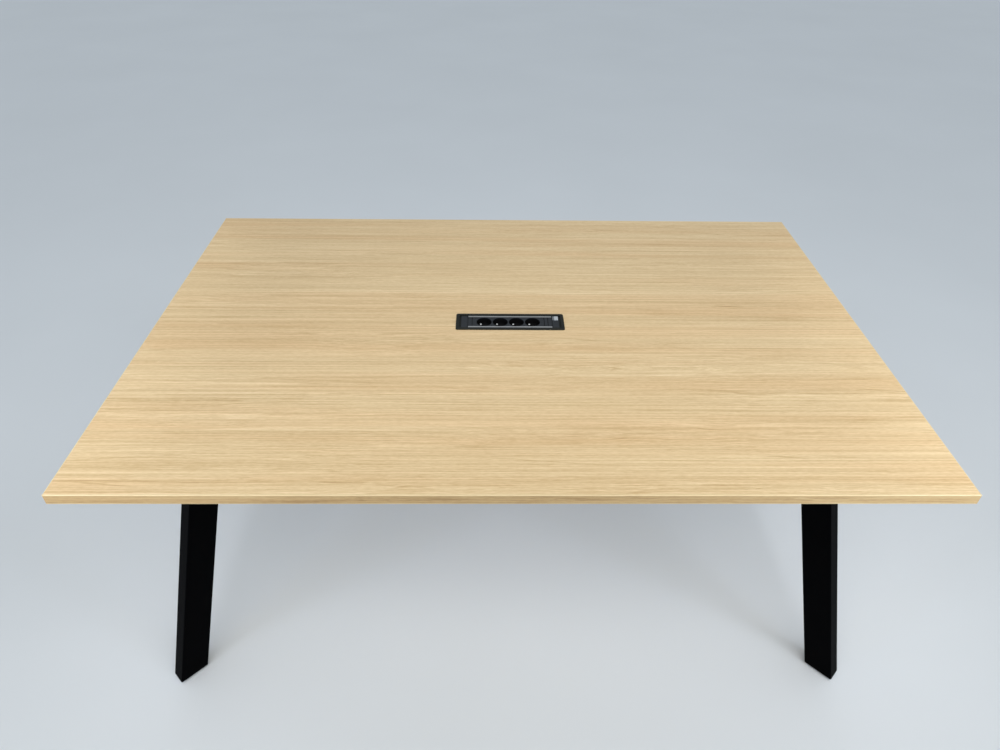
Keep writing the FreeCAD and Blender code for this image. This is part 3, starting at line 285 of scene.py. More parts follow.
def oak_decor(name, light, middle, dark, along_y=False, arris_highlights=False):
    """Oak decor, printed paper under melamine or on ABS edging: straight grain in fine lighter and
    darker lines that wander a little and come and go, broad faint bands, a few short dark flecks, and
    pressed pores. On edging, a painted highlight can run along both its arrises, paler than the rest."""
    material, tree, place = new_material(name)
    if along_y:
        place = add(tree, "ShaderNodeMapping", {"Vector": place, "Rotation": (0, 0, math.pi / 2)})

    # The lines wander to the side as they run, and more in the figured patches
    figure = marks(tree, place, FIGURE_SIZE, 1.0)
    figure = add(tree, "ShaderNodeMapRange", [figure, *FIGURE_LEVELS, *FIGURE_SHARES])
    wander = add(tree, "ShaderNodeMath", [marks(tree, place, WANDER_SIZE), 0.5], operation="SUBTRACT")
    wander = add(tree, "ShaderNodeMath", [wander, figure], operation="MULTIPLY")
    wander = add(tree, "ShaderNodeMath", [wander, GRAIN_WANDER], operation="MULTIPLY")
    aside = add(tree, "ShaderNodeCombineXYZ", {"Y": wander, "Z": wander})
    grain = add(tree, "ShaderNodeVectorMath", [place, aside], operation="ADD")

    # The shade of each spot, from -1, dark, to 1, light
    shade = 0.0
    for length, width, detail, share in GRAIN:
        layer = marks(tree, grain, (length, width, width), detail, GRAIN_ROUGHNESS)
        layer = add(tree, "ShaderNodeMath", [layer, 0.5], operation="SUBTRACT")
        shade = add(tree, "ShaderNodeMath", [layer, share, shade], operation="MULTIPLY_ADD")
    # A line follows the middle level of broad marks, and comes and goes along its run
    for length, spacing, width, share in GRAIN_LINES:
        away = marks(tree, grain, (length, spacing, spacing))
        away = add(tree, "ShaderNodeMath", [away, 0.5], operation="SUBTRACT")
        away = add(tree, "ShaderNodeMath", [away], operation="ABSOLUTE")
        line = add(tree, "ShaderNodeMapRange", [away, 0.0, 0.5 * width / spacing, share, 0.0])
        seen = marks(tree, grain, (length * LINE_MARKS, spacing, spacing))
        seen = add(tree, "ShaderNodeMapRange", [seen, *LINE_LEVELS, 0.0, 1.0])
        shade = add(tree, "ShaderNodeMath", [line, seen, shade], operation="MULTIPLY_ADD")
    # Here and there a short dark fleck lies a little across the grain
    slanted = add(tree, "ShaderNodeMapping", {"Vector": grain, "Rotation": (0, 0, FLECK_SLANT)})
    fleck = marks(tree, slanted, FLECK_SIZE, FLECK_DETAIL)
    fleck = add(tree, "ShaderNodeMapRange", [fleck, *FLECK_LEVELS, 0.0, FLECK_SHARE])
    shade = add(tree, "ShaderNodeMath", [shade, fleck], operation="SUBTRACT")

    level = add(tree, "ShaderNodeMath", [shade, 0.5, 0.5], operation="MULTIPLY_ADD")
    colour = add(tree, "ShaderNodeValToRGB", [level])
    ramp = colour.node.color_ramp.elements
    ramp[0].color = linear(dark)
    ramp[1].color = linear(light)
    ramp.new(0.5).color = linear(middle)
    # Some bands are redder than others
    blush = marks(tree, grain, BLUSH_SIZE)
    blush = add(tree, "ShaderNodeMapRange", [blush, *BLUSH_LEVELS, 0.0, BLUSH_SHARE])
    tones = {0: blush, MIX_A: colour, MIX_B: linear(BLUSH)}
    colour = add(tree, "ShaderNodeMix", tones, MIX_RESULT, **TINT)
    # Painted highlight: the edging is paler along both its arrises, where light catches their rounding
    if arris_highlights:
        height = add(tree, "ShaderNodeSeparateXYZ", [place], "Z")
        for low, high in PAINTED_ARRIS_HEIGHTS:
            arris = add(tree, "ShaderNodeMapRange", [height, low, high, 0.0, 1.0])
            tones = {0: arris, MIX_A: colour, MIX_B: linear(ARRIS_HIGHLIGHT_OAK)}
            colour = add(tree, "ShaderNodeMix", tones, MIX_RESULT, **BLEND)
    # Pores, drawn coarser than real ones so that they show
    pore = marks(tree, grain, PORE_SIZE, 1.0)
    pore = add(tree, "ShaderNodeMapRange", [pore, *PORE_LEVELS, 0.0, PORE_SHARE])
    tones = {0: pore, MIX_A: colour, MIX_B: linear(dark)}
    colour = add(tree, "ShaderNodeMix", tones, MIX_RESULT, **BLEND)
    pressed = add(tree, "ShaderNodeBump", {
        "Height": pore, "Distance": PORE_DEPTH, "Strength": PORE_STRENGTH,
    }, invert=True)
    finish_material(tree, Base_Color=colour, Roughness=OAK_ROUGHNESS, IOR=1.5, Normal=pressed)
    return material


def powder_coat(name, colour, roughness, specular, grit):
    """Powder-coated steel: a dark baked film with a fine even texture that breaks up its gloss. The
    grit is in millimetres, coarser than the real one so that it shows."""
    material, tree, place = new_material(name)
    texture = marks(tree, place, (grit, grit, grit))
    shade = clouded(tree, place, linear(colour), size=60, spread=0.2, detail=3.0)
    gloss, relief = textured(tree, texture, roughness, spread=0.06, depth=0.06, strength=0.5)
    finish_material(
        tree, Base_Color=shade, Roughness=gloss, Specular_IOR_Level=specular, Normal=relief,
    )
    return material


def moulded_plastic(name, colour, roughness, specular=0.5, recess_shade=()):
    """Injection-moulded ABS, nylon or acetal from a spark-eroded mould: matt, with a fine even grain,
    drawn coarser than the real one so that it shows. Sunk parts can have painted shade, a darker
    tone: its colour, and the heights where it is full and where it ends."""
    material, tree, place = new_material(name)
    grain = marks(tree, place, (0.9, 0.9, 0.9))
    shade = linear(colour)
    # Painted shade: the colour turns to the darker tone below the given heights
    if recess_shade:
        tone, low, high = recess_shade
        height = add(tree, "ShaderNodeSeparateXYZ", [place], "Z")
        face = add(tree, "ShaderNodeMapRange", [height, low, high, 0.0, 1.0])
        tones = {0: face, MIX_A: linear(tone), MIX_B: shade}
        shade = add(tree, "ShaderNodeMix", tones, MIX_RESULT, **BLEND)
    shade = clouded(tree, place, shade, size=25, spread=0.1)
    gloss, relief = textured(tree, grain, roughness, spread=0.05, depth=0.03, strength=0.4)
    finish_material(
        tree, Base_Color=shade, Roughness=gloss, IOR=1.53, Specular_IOR_Level=specular, Normal=relief,
    )
    return material


def metal(name, colour, roughness, lay=(0.4, 0.4, 0.4)):
    """Bare or plated metal, in faint patches. The lay is the size of its fine marks in millimetres:
    long ones along an extrusion."""
    material, tree, place = new_material(name)
    brush = marks(tree, place, lay, 3.0)
    shade = clouded(tree, place, linear(colour), size=18, spread=0.07)
    gloss, relief = textured(tree, brush, roughness, spread=0.06, depth=0.02, strength=0.3)
    finish_material(tree, Base_Color=shade, Metallic=1.0, Roughness=gloss, Normal=relief)
    return material


def blank_vinyl():
    """A small blank plate of vinyl, one third of it grey and the rest off-white."""
    material, tree, place = new_material("blank_vinyl")
    along = add(tree, "ShaderNodeSeparateXYZ", [place], "X")
    edge = PLATE_MIDDLE[0] - PLATE_HALF[0] / 3
    side = add(tree, "ShaderNodeMapRange", [along, edge - PLATE_BLUR, edge + PLATE_BLUR, 0.0, 1.0])
    grey, white = (linear(tone) for tone in PLATE_TONES)
    colour = add(tree, "ShaderNodeMix", {0: side, MIX_A: grey, MIX_B: white}, MIX_RESULT, **BLEND)
    colour = clouded(tree, place, colour, size=3, spread=0.06)
    finish_material(tree, Base_Color=colour, Roughness=0.4, IOR=1.5)
    return material


def floor_material():
    """A plain pale floor, matt."""
    material, tree, place = new_material("pale_floor")
    shade = clouded(tree, place, linear(FLOOR_COLOUR), size=900, spread=0.015, detail=3.0)
    finish_material(tree, Base_Color=shade, Roughness=0.9, Specular_IOR_Level=0.2)
    return material


MATERIALS = {
    "oak_decor": oak_decor("oak_melamine", *OAK),
    "oak_edging": oak_decor("oak_abs_edging_along_x", *SHADED_EDGE_OAK, arris_highlights=True),
    "black_legs": powder_coat(
        "black_textured_powder_coat", "#020203", roughness=0.55, specular=0.015, grit=1.4),
    "black_steel": powder_coat(
        "black_frame_powder_coat", "#030304", roughness=0.55, specular=0.025, grit=1.4),
    "black_plastic": moulded_plastic("black_nylon", "#0D0E10", roughness=0.55, specular=0.3),
    "zinc_steel": metal("bright_zinc_plate", "#C9CCD0", roughness=0.3),
    "brass": metal("drawn_brass", "#D8B25E", roughness=0.28),
    "nickel": metal("nickel_plate", "#F7F5F1", roughness=0.28),
    "bezel_coating": powder_coat(
        "anthracite_powder_coat", "#1E1F1A", roughness=0.5, specular=0.16, grit=1.0),
    "anodised_aluminium": metal(
        "satin_anodised_aluminium", "#B3B2B1", roughness=0.45, lay=(40, 0.5, 0.5)),
    # The unit's sunk faces and recesses are darkened by painted shade
    "unit_plastic": moulded_plastic(
        "anthracite_abs", "#1D2024", roughness=0.5, specular=0.3, recess_shade=("#050506", 0.738, 0.7401)),
    "shutter_plastic": moulded_plastic("black_shutter_acetal", "#0C0C0D", roughness=0.35),
}
SIDE_EDGING = oak_decor("oak_abs_edging_along_y", *SHADED_EDGE_OAK, along_y=True, arris_highlights=True)


def dress_nodes():
    """Gives each CAD node the finish of its record's slot."""
    for part in frame["record"]["subparts"]:
        node = frame["nodes"][part["node"]]
        finish = MATERIALS[part["material_slot"]]
        if part["node"] in ("edge_band_left", "edge_band_right"):
            finish = SIDE_EDGING
        node.data.materials.clear()
        node.data.materials.append(finish)


# Detail pieces made by Geometry Nodes

def new_tree(name, sizes):
    """A tree that starts from a mesh, with a named input for each size and for the finish."""
    tree = bpy.data.node_groups.new(name, "GeometryNodeTree")
    tree.interface.new_socket("Geometry", in_out="INPUT", socket_type="NodeSocketGeometry")
    for size, value in sizes.items():
        kind = "NodeSocketInt" if isinstance(value, int) else "NodeSocketFloat"
        tree.interface.new_socket(size, in_out="INPUT", socket_type=kind)
    tree.interface.new_socket("Finish", in_out="INPUT", socket_type="NodeSocketMaterial")
    tree.interface.new_socket("Geometry", in_out="OUTPUT", socket_type="NodeSocketGeometry")
    return tree, tree.nodes.new("NodeGroupInput").outputs


def end_tree(tree, given, shape):
    """Ends a tree with plain geometry in its finish."""
    solid = add(tree, "GeometryNodeRealizeInstances", [shape])
    solid = add(tree, "GeometryNodeSetMaterial", {"Geometry": solid, "Material": given["Finish"]})
    add(tree, "NodeGroupOutput", [solid])


def place_on_points(tree, given, shape):
    """Sets a shape on every point, with its Z turned along the point's aim."""
    aim = add(tree, "GeometryNodeInputNamedAttribute", ["aim"], data_type="FLOAT_VECTOR")
    turn = add(tree, "FunctionNodeAlignRotationToVector", {"Vector": aim}, axis="Z")
    placed = add(tree, "GeometryNodeInstanceOnPoints", {
        "Points": given["Geometry"], "Instance": shape, "Rotation": turn,
    })
    end_tree(tree, given, placed)


def raised(tree, shape, height):
    """Moves a shape up, or down by a height below zero."""
    rise = add(tree, "ShaderNodeCombineXYZ", {"Z": height})
    return add(tree, "GeometryNodeTransform", {"Geometry": shape, "Translation": rise})


def hanging_shank(tree, given, sides, overlap):
    """The round shank under a head, which it runs up into by the overlap."""
    radius = add(tree, "ShaderNodeMath", [given["Shank_Width"], 0.5], operation="MULTIPLY")
    shank = add(tree, "GeometryNodeMeshCylinder", {
        "Vertices": sides, "Radius": radius, "Depth": given["Shank_Length"],
    })
    middle = add(tree, "ShaderNodeMath", [given["Shank_Length"], -0.5, overlap],
                 operation="MULTIPLY_ADD")
    return raised(tree, shank, middle)


def screw_tree(sizes):
    """Round-head screws with a cross recess."""
    tree, given = new_tree("cross_recess_screws", sizes)
    radius = add(tree, "ShaderNodeMath", [given["Head_Width"], 0.5], operation="MULTIPLY")
    ball = add(tree, "GeometryNodeMeshUVSphere", {"Segments": 24, "Rings": 12, "Radius": radius})
    # The lower half of the ball is pressed flat, which leaves a dome as high as the head
    spot = add(tree, "GeometryNodeInputPosition")
    height = add(tree, "ShaderNodeSeparateXYZ", [spot], "Z")
    height = add(tree, "ShaderNodeMath", [height, 0.0], operation="MAXIMUM")
    height = add(tree, "ShaderNodeMath", [height, radius], operation="DIVIDE")
    height = add(tree, "ShaderNodeMath", [height, given["Head_Height"]], operation="MULTIPLY")
    flat = add(tree, "ShaderNodeVectorMath", [spot, (1.0, 1.0, 0.0)], operation="MULTIPLY")
    rise = add(tree, "ShaderNodeCombineXYZ", {"Z": height})
    domed = add(tree, "ShaderNodeVectorMath", [flat, rise], operation="ADD")
    dome = add(tree, "GeometryNodeSetPosition", {"Geometry": ball, "Position": domed})
    shank = hanging_shank(tree, given, 16, SCREW_OVERLAP)
    screw = add(tree, "GeometryNodeMeshBoolean", {"Mesh 2": [dome, shank]}, operation="UNION")

    depth = add(tree, "ShaderNodeMath", [given["Recess_Depth"], 2.0], operation="MULTIPLY")
    for across, along in (("Recess_Width", "Recess_Slot"), ("Recess_Slot", "Recess_Width")):
        box = add(tree, "ShaderNodeCombineXYZ", [given[across], given[along], depth])
        bar = add(tree, "GeometryNodeMeshCube", {"Size": box})
        bar = raised(tree, bar, given["Head_Height"])
        screw = add(tree, "GeometryNodeMeshBoolean", {"Mesh 1": screw, "Mesh 2": bar},
                    operation="DIFFERENCE")
    place_on_points(tree, given, screw)
    return tree


def bolt_tree(sizes):
    """Hexagon bolts, their heads' corners turned off as on a real one."""
    tree, given = new_tree("hexagon_bolts", sizes)
    corner = add(tree, "ShaderNodeMath", [given["Head_Width"], HEXAGON], operation="DIVIDE")
    half = add(tree, "ShaderNodeMath", [given["Head_Height"], 0.5], operation="MULTIPLY")
    block = add(tree, "GeometryNodeMeshCylinder", {
        "Vertices": 6, "Radius": corner, "Depth": given["Head_Height"],
    })
    block = raised(tree, block, half)
    # A cone that is just wider than the head at its seat turns the outer corners off
    crown = add(tree, "ShaderNodeMath", [corner, given["Crown"]], operation="MULTIPLY")
    tip = add(tree, "ShaderNodeMath", [given["Head_Width"], CROWN_TIP], operation="MULTIPLY")
    cone = add(tree, "GeometryNodeMeshCone", {
        "Vertices": 48, "Radius Top": tip, "Radius Bottom": crown, "Depth": given["Head_Height"],
    })
    block = add(tree, "GeometryNodeMeshBoolean", {"Mesh 2": [block, cone]}, operation="INTERSECT")
    shank = hanging_shank(tree, given, 24, BOLT_OVERLAP)
    bolt = add(tree, "GeometryNodeMeshBoolean", {"Mesh 2": [block, shank]}, operation="UNION")
    place_on_points(tree, given, bolt)
    return tree


def levelling_foot_tree(sizes):
    """A moulded disc with finger flutes round its rim, on a threaded stud."""
    tree, given = new_tree("levelling_foot", sizes)
    radius = add(tree, "ShaderNodeMath", [given["Disc_Width"], 0.5], operation="MULTIPLY")
    half = add(tree, "ShaderNodeMath", [given["Disc_Height"], 0.5], operation="MULTIPLY")
    disc = add(tree, "GeometryNodeMeshCylinder", {
        "Vertices": 128, "Side Segments": 8, "Radius": radius, "Depth": given["Disc_Height"],
    })
    # Each point of the rim is drawn in by the flutes and, near both faces, by the rounding
    spot = add(tree, "GeometryNodeInputPosition")
    x, y, z = (add(tree, "ShaderNodeSeparateXYZ", [spot], axis) for axis in "XYZ")
    angle = add(tree, "ShaderNodeMath", [y, x], operation="ARCTAN2")
    wave = add(tree, "ShaderNodeMath", [angle, given["Flutes"]], operation="MULTIPLY")
    wave = add(tree, "ShaderNodeMath", [wave], operation="COSINE")
    wave = add(tree, "ShaderNodeMath", [wave, 0.5, 0.5], operation="MULTIPLY_ADD")
    wave = add(tree, "ShaderNodeMath", [wave, FLUTE_POWER], operation="POWER")
    flute = add(tree, "ShaderNodeMath", [wave, given["Flute_Depth"]], operation="MULTIPLY")
    rim = add(tree, "ShaderNodeMath", [z, half], operation="DIVIDE")
    rim = add(tree, "ShaderNodeMath", [rim, RIM_POWER], operation="POWER")
    rim = add(tree, "ShaderNodeMath", [rim, given["Rim_Round"]], operation="MULTIPLY")
    drawn = add(tree, "ShaderNodeMath", [1.0, flute], operation="SUBTRACT")
    drawn = add(tree, "ShaderNodeMath", [drawn, rim], operation="SUBTRACT")
    factor = add(tree, "ShaderNodeCombineXYZ", [drawn, drawn, 1.0])
    shaped = add(tree, "ShaderNodeVectorMath", [spot, factor], operation="MULTIPLY")
    disc = add(tree, "GeometryNodeSetPosition", {"Geometry": disc, "Position": shaped})
    disc = raised(tree, disc, half)

    crest = add(tree, "ShaderNodeMath", [given["Thread_Pitch"], THREAD_RIDGE], operation="MULTIPLY")
    outside = add(tree, "ShaderNodeMath", [given["Stud_Width"], 0.5], operation="MULTIPLY")
    pitch_line = add(tree, "ShaderNodeMath", [outside, crest], operation="SUBTRACT")
    core = add(tree, "GeometryNodeMeshCylinder", {
        "Vertices": 24, "Radius": pitch_line, "Depth": given["Stud_Length"],
    })
    middle = add(tree, "ShaderNodeMath", [given["Stud_Length"], 0.5, given["Disc_Height"]],
                 operation="MULTIPLY_ADD")
    core = raised(tree, core, middle)
    run = add(tree, "ShaderNodeMath", [given["Stud_Length"], given["Thread_Pitch"]],
              operation="SUBTRACT")
    turns = add(tree, "ShaderNodeMath", [run, given["Thread_Pitch"]], operation="DIVIDE")
    helix = add(tree, "GeometryNodeCurveSpiral", {
        "Resolution": 20, "Rotations": turns, "Height": run,
        "Start Radius": pitch_line, "End Radius": pitch_line,
    })
    ridge = add(tree, "GeometryNodeCurvePrimitiveCircle", {"Resolution": 6, "Radius": crest})
    thread = add(tree, "GeometryNodeCurveToMesh", {
        "Curve": helix, "Profile Curve": ridge, "Fill Caps": True,
    })
    start = add(tree, "ShaderNodeMath", [given["Thread_Pitch"], 0.5, given["Disc_Height"]],
                operation="MULTIPLY_ADD")
    thread = raised(tree, thread, start)
    foot = add(tree, "GeometryNodeJoinGeometry", {"Geometry": [disc, core, thread]})
    place_on_points(tree, given, foot)
    return tree


def earth_pin_tree(sizes):
    """Plain pins with a low domed tip."""
    tree, given = new_tree("earth_pins", sizes)
    radius = add(tree, "ShaderNodeMath", [given["Pin_Width"], 0.5], operation="MULTIPLY")
    ball = add(tree, "GeometryNodeMeshUVSphere", {"Segments": 32, "Rings": 24, "Radius": radius})
    # Both halves of the ball are pressed to the height of the tip, and the lower one is drawn down
    press = add(tree, "ShaderNodeMath", [given["Tip_Height"], radius], operation="DIVIDE")
    pressed = add(tree, "ShaderNodeCombineXYZ", [1.0, 1.0, press])
    dome = add(tree, "GeometryNodeTransform", {"Geometry": ball, "Scale": pressed})
    height = add(tree, "ShaderNodeSeparateXYZ", [add(tree, "GeometryNodeInputPosition")], "Z")
    lower = add(tree, "ShaderNodeMath", [height, PIN_LOWER], operation="LESS_THAN")
    both = add(tree, "ShaderNodeMath", [given["Tip_Height"], 2.0], operation="MULTIPLY")
    drop = add(tree, "ShaderNodeMath", [both, given["Pin_Length"]], operation="SUBTRACT")
    down = add(tree, "ShaderNodeCombineXYZ", {"Z": drop})
    pin = add(tree, "GeometryNodeSetPosition", {
        "Geometry": dome, "Selection": lower, "Offset": down,
    })
    tip = add(tree, "ShaderNodeMath", [given["Tip_Height"], -1.0], operation="MULTIPLY")
    place_on_points(tree, given, raised(tree, pin, tip))
    return tree


def weld_tree(sizes):
    """A weld bead along a line, with the ripples that the torch leaves."""
    tree, given = new_tree("weld_beads", sizes)
    line = add(tree, "GeometryNodeMeshToCurve", [given["Geometry"]])
    step = add(tree, "ShaderNodeMath", [given["Ripple_Spacing"], RIPPLE_STEPS], operation="DIVIDE")
    line = add(tree, "GeometryNodeResampleCurve", {"Curve": line, "Length": step}, mode="LENGTH")
    along = add(tree, "GeometryNodeSplineParameter", output="Length")
    turn = add(tree, "ShaderNodeMath", [along, given["Ripple_Spacing"]], operation="DIVIDE")
    turn = add(tree, "ShaderNodeMath", [turn, 2 * math.pi], operation="MULTIPLY")
    ripple = add(tree, "ShaderNodeMath", [turn], operation="SINE")
    swell = add(tree, "ShaderNodeMath", [ripple, given["Ripple_Height"], 1.0],
                operation="MULTIPLY_ADD")
    radius = add(tree, "ShaderNodeMath", [given["Bead_Width"], 0.5], operation="MULTIPLY")
    profile = add(tree, "GeometryNodeCurvePrimitiveCircle", {"Resolution": 12, "Radius": radius})
    bead = add(tree, "GeometryNodeCurveToMesh", {
        "Curve": line, "Profile Curve": profile, "Scale": swell,
    })
    end_tree(tree, given, bead)
    return tree


def start_mesh(name, points, aims=(), edges=()):
    """Points for a tree to start from, each with the direction that its piece faces."""
    mesh = bpy.data.meshes.new(name)
    mesh.from_pydata(points, edges, [])
    if aims:
        aim = mesh.attributes.new("aim", "FLOAT_VECTOR", "POINT")
        for row, direction in zip(aim.data, aims):
            row.vector = direction
    return mesh


def finished_piece(name, mesh, body, replaced=()):
    """A finished mesh as a piece that rides on a body, with its smooth faces shaded smooth."""
    mesh.name = name
    mesh.shade_smooth()
    mesh.set_sharp_from_angle(angle=SHARP_ANGLE)
    piece = bpy.data.objects.new(name, mesh)
    bpy.context.scene.collection.objects.link(piece)
    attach(piece, body)
    if replaced:
        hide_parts(*replaced)


def grown_piece(name, tree, start, sizes, slot, body, replaced=()):
    """Runs a tree on its starting mesh and keeps the result as a plain mesh."""
    seed = bpy.data.objects.new(name + "_start", start)
    bpy.context.scene.collection.objects.link(seed)
    modifier = seed.modifiers.new(name, "NODES")
    modifier.node_group = tree
    values = dict(sizes, Finish=MATERIALS[slot])
    for socket in tree.interface.items_tree:
        if socket.name in values:
            modifier[socket.identifier] = values[socket.name]
    graph = bpy.context.evaluated_depsgraph_get()
    mesh = bpy.data.meshes.new_from_object(seed.evaluated_get(graph), depsgraph=graph)
    bpy.data.objects.remove(seed)
    finished_piece(name, mesh, body, replaced)


def solid_boxes(node):
    """The lowest and highest corners of each separate solid in a CAD node."""
    shape = bmesh.new()
    shape.from_mesh(frame["nodes"][node].data)
    bmesh.ops.remove_doubles(shape, verts=shape.verts, dist=SAME_POINT)
    left = set(shape.verts)
    boxes = []
    while left:
        found = [left.pop()]
        for vert in found:
            near = {edge.other_vert(vert) for edge in vert.link_edges} & left
            left -= near
            found.extend(near)
        spots = [vert.co for vert in found]
        low = Vector([min(spot[axis] for spot in spots) for axis in range(3)])
        high = Vector([max(spot[axis] for spot in spots) for axis in range(3)])
        boxes.append((low, high))
    shape.free()
    return sorted(boxes, key=lambda box: tuple(round(v, 5) for v in box[0]))


def fasten_from_below(name, node, tree, sizes):
    """Screws or bolts where the solids of a CAD node are, their heads below."""
    seats = []
    for low, high in solid_boxes(node):
        middle = (low + high) / 2
        seats.append((middle.x, middle.y, low.z + sizes["Head_Height"]))
    start = start_mesh(f"{node}_seats", seats, [(0, 0, -1)] * len(seats))
    grown_piece(name, tree, start, sizes, "zinc_steel", TABLE, [node])


def make_fasteners():
    """The top's screws, the unit's screws, whose heads face its ends, and the legs' bolts."""
    screws = screw_tree(TOP_SCREW)
    fasten_from_below("cross_head_top_screws", "top_screws", screws, TOP_SCREW)

    seats, aims = [], []
    for low, high in solid_boxes("unit_screws"):
        middle = (low + high) / 2
        side = math.copysign(1, middle.x)
        outer = high.x if side > 0 else low.x
        seats.append((outer - side * UNIT_SCREW["Head_Height"], middle.y, middle.z))
        aims.append((side, 0, 0))
    start = start_mesh("unit_screws_seats", seats, aims)
    grown_piece(
        "cross_head_unit_screws", screws, start, UNIT_SCREW, "zinc_steel", TABLE, ["unit_screws"],
    )

    fasten_from_below("hexagon_leg_bolts", "leg_bolts", bolt_tree(LEG_BOLT), LEG_BOLT)


def make_levelling_feet():
    """A levelling foot on its own body at each corner."""
    tree = levelling_foot_tree(LEVELLING_FOOT)
    for corner in CORNERS:
        node = f"levelling_foot_{corner}"
        low, high = (Vector(c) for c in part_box(node))
        middle = (low + high) / 2
        start = start_mesh(f"{node}_place", [(middle.x, middle.y, low.z)], [(0, 0, 1)])
        grown_piece(
            f"fluted_foot_{corner}", tree, start, LEVELLING_FOOT, "black_plastic",
            f"foot_{corner}", [node],
        )


def make_earth_pins():
    """Round pins, as long as their CAD solids."""
    boxes = solid_boxes("earth_pins")
    tips = [((low.x + high.x) / 2, (low.y + high.y) / 2, high.z) for low, high in boxes]
    sizes = dict(EARTH_PIN, Pin_Length=boxes[0][1].z - boxes[0][0].z)
    start = start_mesh("earth_pin_tips", tips, [(0, 0, 1)] * len(tips))
    grown_piece(
        "round_earth_pins", earth_pin_tree(sizes), start, sizes, "nickel", TABLE, ["earth_pins"],
    )


def rounded_rectangle(half_x, half_y, corner):
    """Points round a rectangle with rounded corners, anticlockwise."""
    points = []
    for number, (x, y) in enumerate(((1, 1), (-1, 1), (-1, -1), (1, -1))):
        for step in range(CORNER_STEPS + 1):
            angle = math.pi / 2 * (number + step / CORNER_STEPS)
            points.append((
                x * (half_x - corner) + corner * math.cos(angle),
                y * (half_y - corner) + corner * math.sin(angle),
            ))
    return points


def make_welds():
    """The beads that join the legs to their plates, round the head of each leg."""
    points, edges = [], []
    for side_x, side_y in CORNERS.values():
        lean = math.atan2(side_y, side_x)
        first = len(points)
        loop = rounded_rectangle(LEG_HEAD_SIZE[0] / 2, LEG_HEAD_SIZE[1] / 2, LEG_HEAD_CORNER)
        for along, across in loop:
            points.append((
                side_x * LEG_HEAD_PLACE[0] + along * math.cos(lean) - across * math.sin(lean),
                side_y * LEG_HEAD_PLACE[1] + along * math.sin(lean) + across * math.cos(lean),
                LEG_HEAD_PLACE[2],
            ))
        edges += [(first + n, first + (n + 1) % len(loop)) for n in range(len(loop))]
    start = start_mesh("weld_lines", points, edges=edges)
    grown_piece("leg_weld_beads", weld_tree(WELD), start, WELD, "black_steel", TABLE)


# Detail pieces drawn face by face

def drawn_piece(name, shape, finish):
    """Keeps a drawn shape as a piece on the table."""
    bmesh.ops.recalc_face_normals(shape, faces=shape.faces)
    mesh = bpy.data.meshes.new(name)
    shape.to_mesh(mesh)
    shape.free()
    mesh.materials.append(finish)
    finished_piece(name, mesh, TABLE)


def make_blank_plate():
    """A thin blank plate stuck on the right-hand end cap."""
    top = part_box("end_cap_right")[1][2]
    shape = bmesh.new()
    ring = [
        shape.verts.new((PLATE_MIDDLE[0] + x, PLATE_MIDDLE[1] + y, top))
        for x, y in rounded_rectangle(*PLATE_HALF, PLATE_CORNER)
    ]
    face = shape.faces.new(ring)
    lifted = bmesh.ops.extrude_face_region(shape, geom=[face])["geom"]
    upper = [item for item in lifted if isinstance(item, bmesh.types.BMVert)]
    bmesh.ops.translate(shape, verts=upper, vec=(0, 0, PLATE_THICKNESS))
    drawn_piece("blank_plate", shape, blank_vinyl())


def make_bezel_flange():
    """The flange inside the bezel that the unit is set in, a little below their faces."""
    shape = bmesh.new()
    rings = []
    for sizes in (FLANGE_OUTSIDE, FLANGE_INSIDE):
        for height in (FLANGE_TOP, FLANGE_TOP - FLANGE_THICKNESS):
            rings.append([shape.verts.new((x, y, height)) for x, y in rounded_rectangle(*sizes)])
    outer_top, outer_low, inner_top, inner_low = rings
    around = [outer_top, inner_top, inner_low, outer_low, outer_top]
    for one, other in zip(around, around[1:]):
        for n in range(len(one)):
            following = (n + 1) % len(one)
            shape.faces.new((one[n], one[following], other[following], other[n]))
    drawn_piece("bezel_flange", shape, MATERIALS["bezel_coating"])


# Stage, light and camera

def make_floor():
    """A floor that reaches past the view."""
    mesh = bpy.data.meshes.new("floor")
    half = FLOOR_SIZE / 2
    corners = [(-half, -half, 0), (half, -half, 0), (half, half, 0), (-half, half, 0)]
    mesh.from_pydata(corners, [], [(0, 1, 2, 3)])
    mesh.materials.append(floor_material())
    floor = bpy.data.objects.new("floor", mesh)
    bpy.context.scene.collection.objects.link(floor)


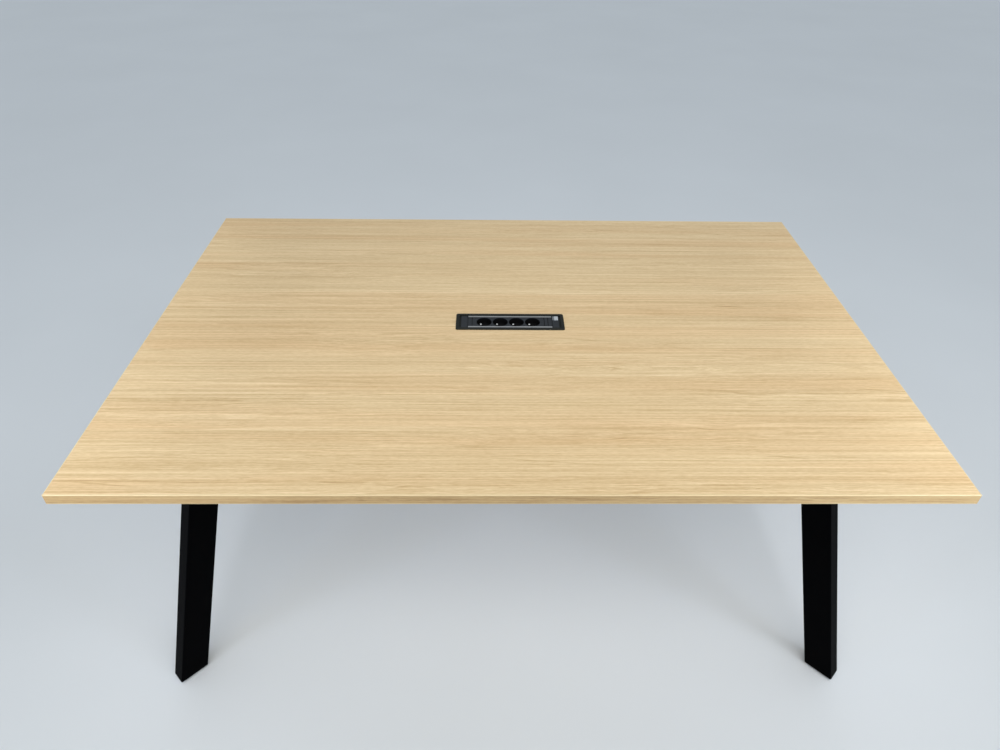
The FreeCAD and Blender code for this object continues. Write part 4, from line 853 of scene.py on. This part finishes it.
def make_lights():
    """The surround, the ceiling's light and the panels."""
    world = bpy.data.worlds.new("pale_room")
    world.use_nodes = True
    world.node_tree.nodes.clear()
    sky = add(world.node_tree, "ShaderNodeBackground", {
        "Color": linear(SURROUND), "Strength": SURROUND_STRENGTH,
    })
    add(world.node_tree, "ShaderNodeOutputWorld", {"Surface": sky})
    bpy.context.scene.world = world
    ceiling = bpy.data.lights.new("ceiling", "SUN")
    ceiling.energy = CEILING_STRENGTH
    ceiling.angle = CEILING_SPREAD
    bpy.context.scene.collection.objects.link(bpy.data.objects.new("ceiling", ceiling))
    for name, place, target, length, width, watts, colour, spread, mirrored in PANELS:
        panel = bpy.data.lights.new(name, "AREA")
        panel.shape = "RECTANGLE"
        panel.size, panel.size_y = length, width
        panel.energy = watts
        panel.color = linear(colour)[:3]
        panel.spread = spread
        lamp = bpy.data.objects.new(name, panel)
        lamp.location = place
        lamp.visible_glossy = mirrored
        lamp.visible_camera = False
        aim = Vector(target) - Vector(place)
        lamp.rotation_euler = aim.to_track_quat("-Z", "Y").to_euler()
        bpy.context.scene.collection.objects.link(lamp)


def make_camera():
    """The camera that the photo was fitted with."""
    lens = bpy.data.cameras.new("camera")
    lens.sensor_fit = "HORIZONTAL"
    lens.sensor_width = SENSOR_WIDTH
    lens.lens = FOCAL_LENGTH_PIXELS / PICTURE_WIDTH * SENSOR_WIDTH
    camera = bpy.data.objects.new("camera", lens)
    # Looking along +Y and level, then pitched down, turned and rolled
    level = Matrix.Rotation(math.pi / 2, 4, "X")
    pitch = Matrix.Rotation(-CAMERA_PITCH, 4, "X")
    yaw = Matrix.Rotation(CAMERA_YAW, 4, "Z")
    roll = Matrix.Rotation(CAMERA_ROLL, 4, "Z")
    camera.matrix_world = Matrix.Translation(CAMERA_PLACE) @ yaw @ pitch @ level @ roll
    bpy.context.scene.collection.objects.link(camera)
    bpy.context.scene.camera = camera


dress_nodes()
make_fasteners()
make_levelling_feet()
make_earth_pins()
make_welds()
make_blank_plate()
make_bezel_flange()
make_floor()
make_lights()
make_camera()
bpy.context.scene.view_settings.view_transform = "Standard"
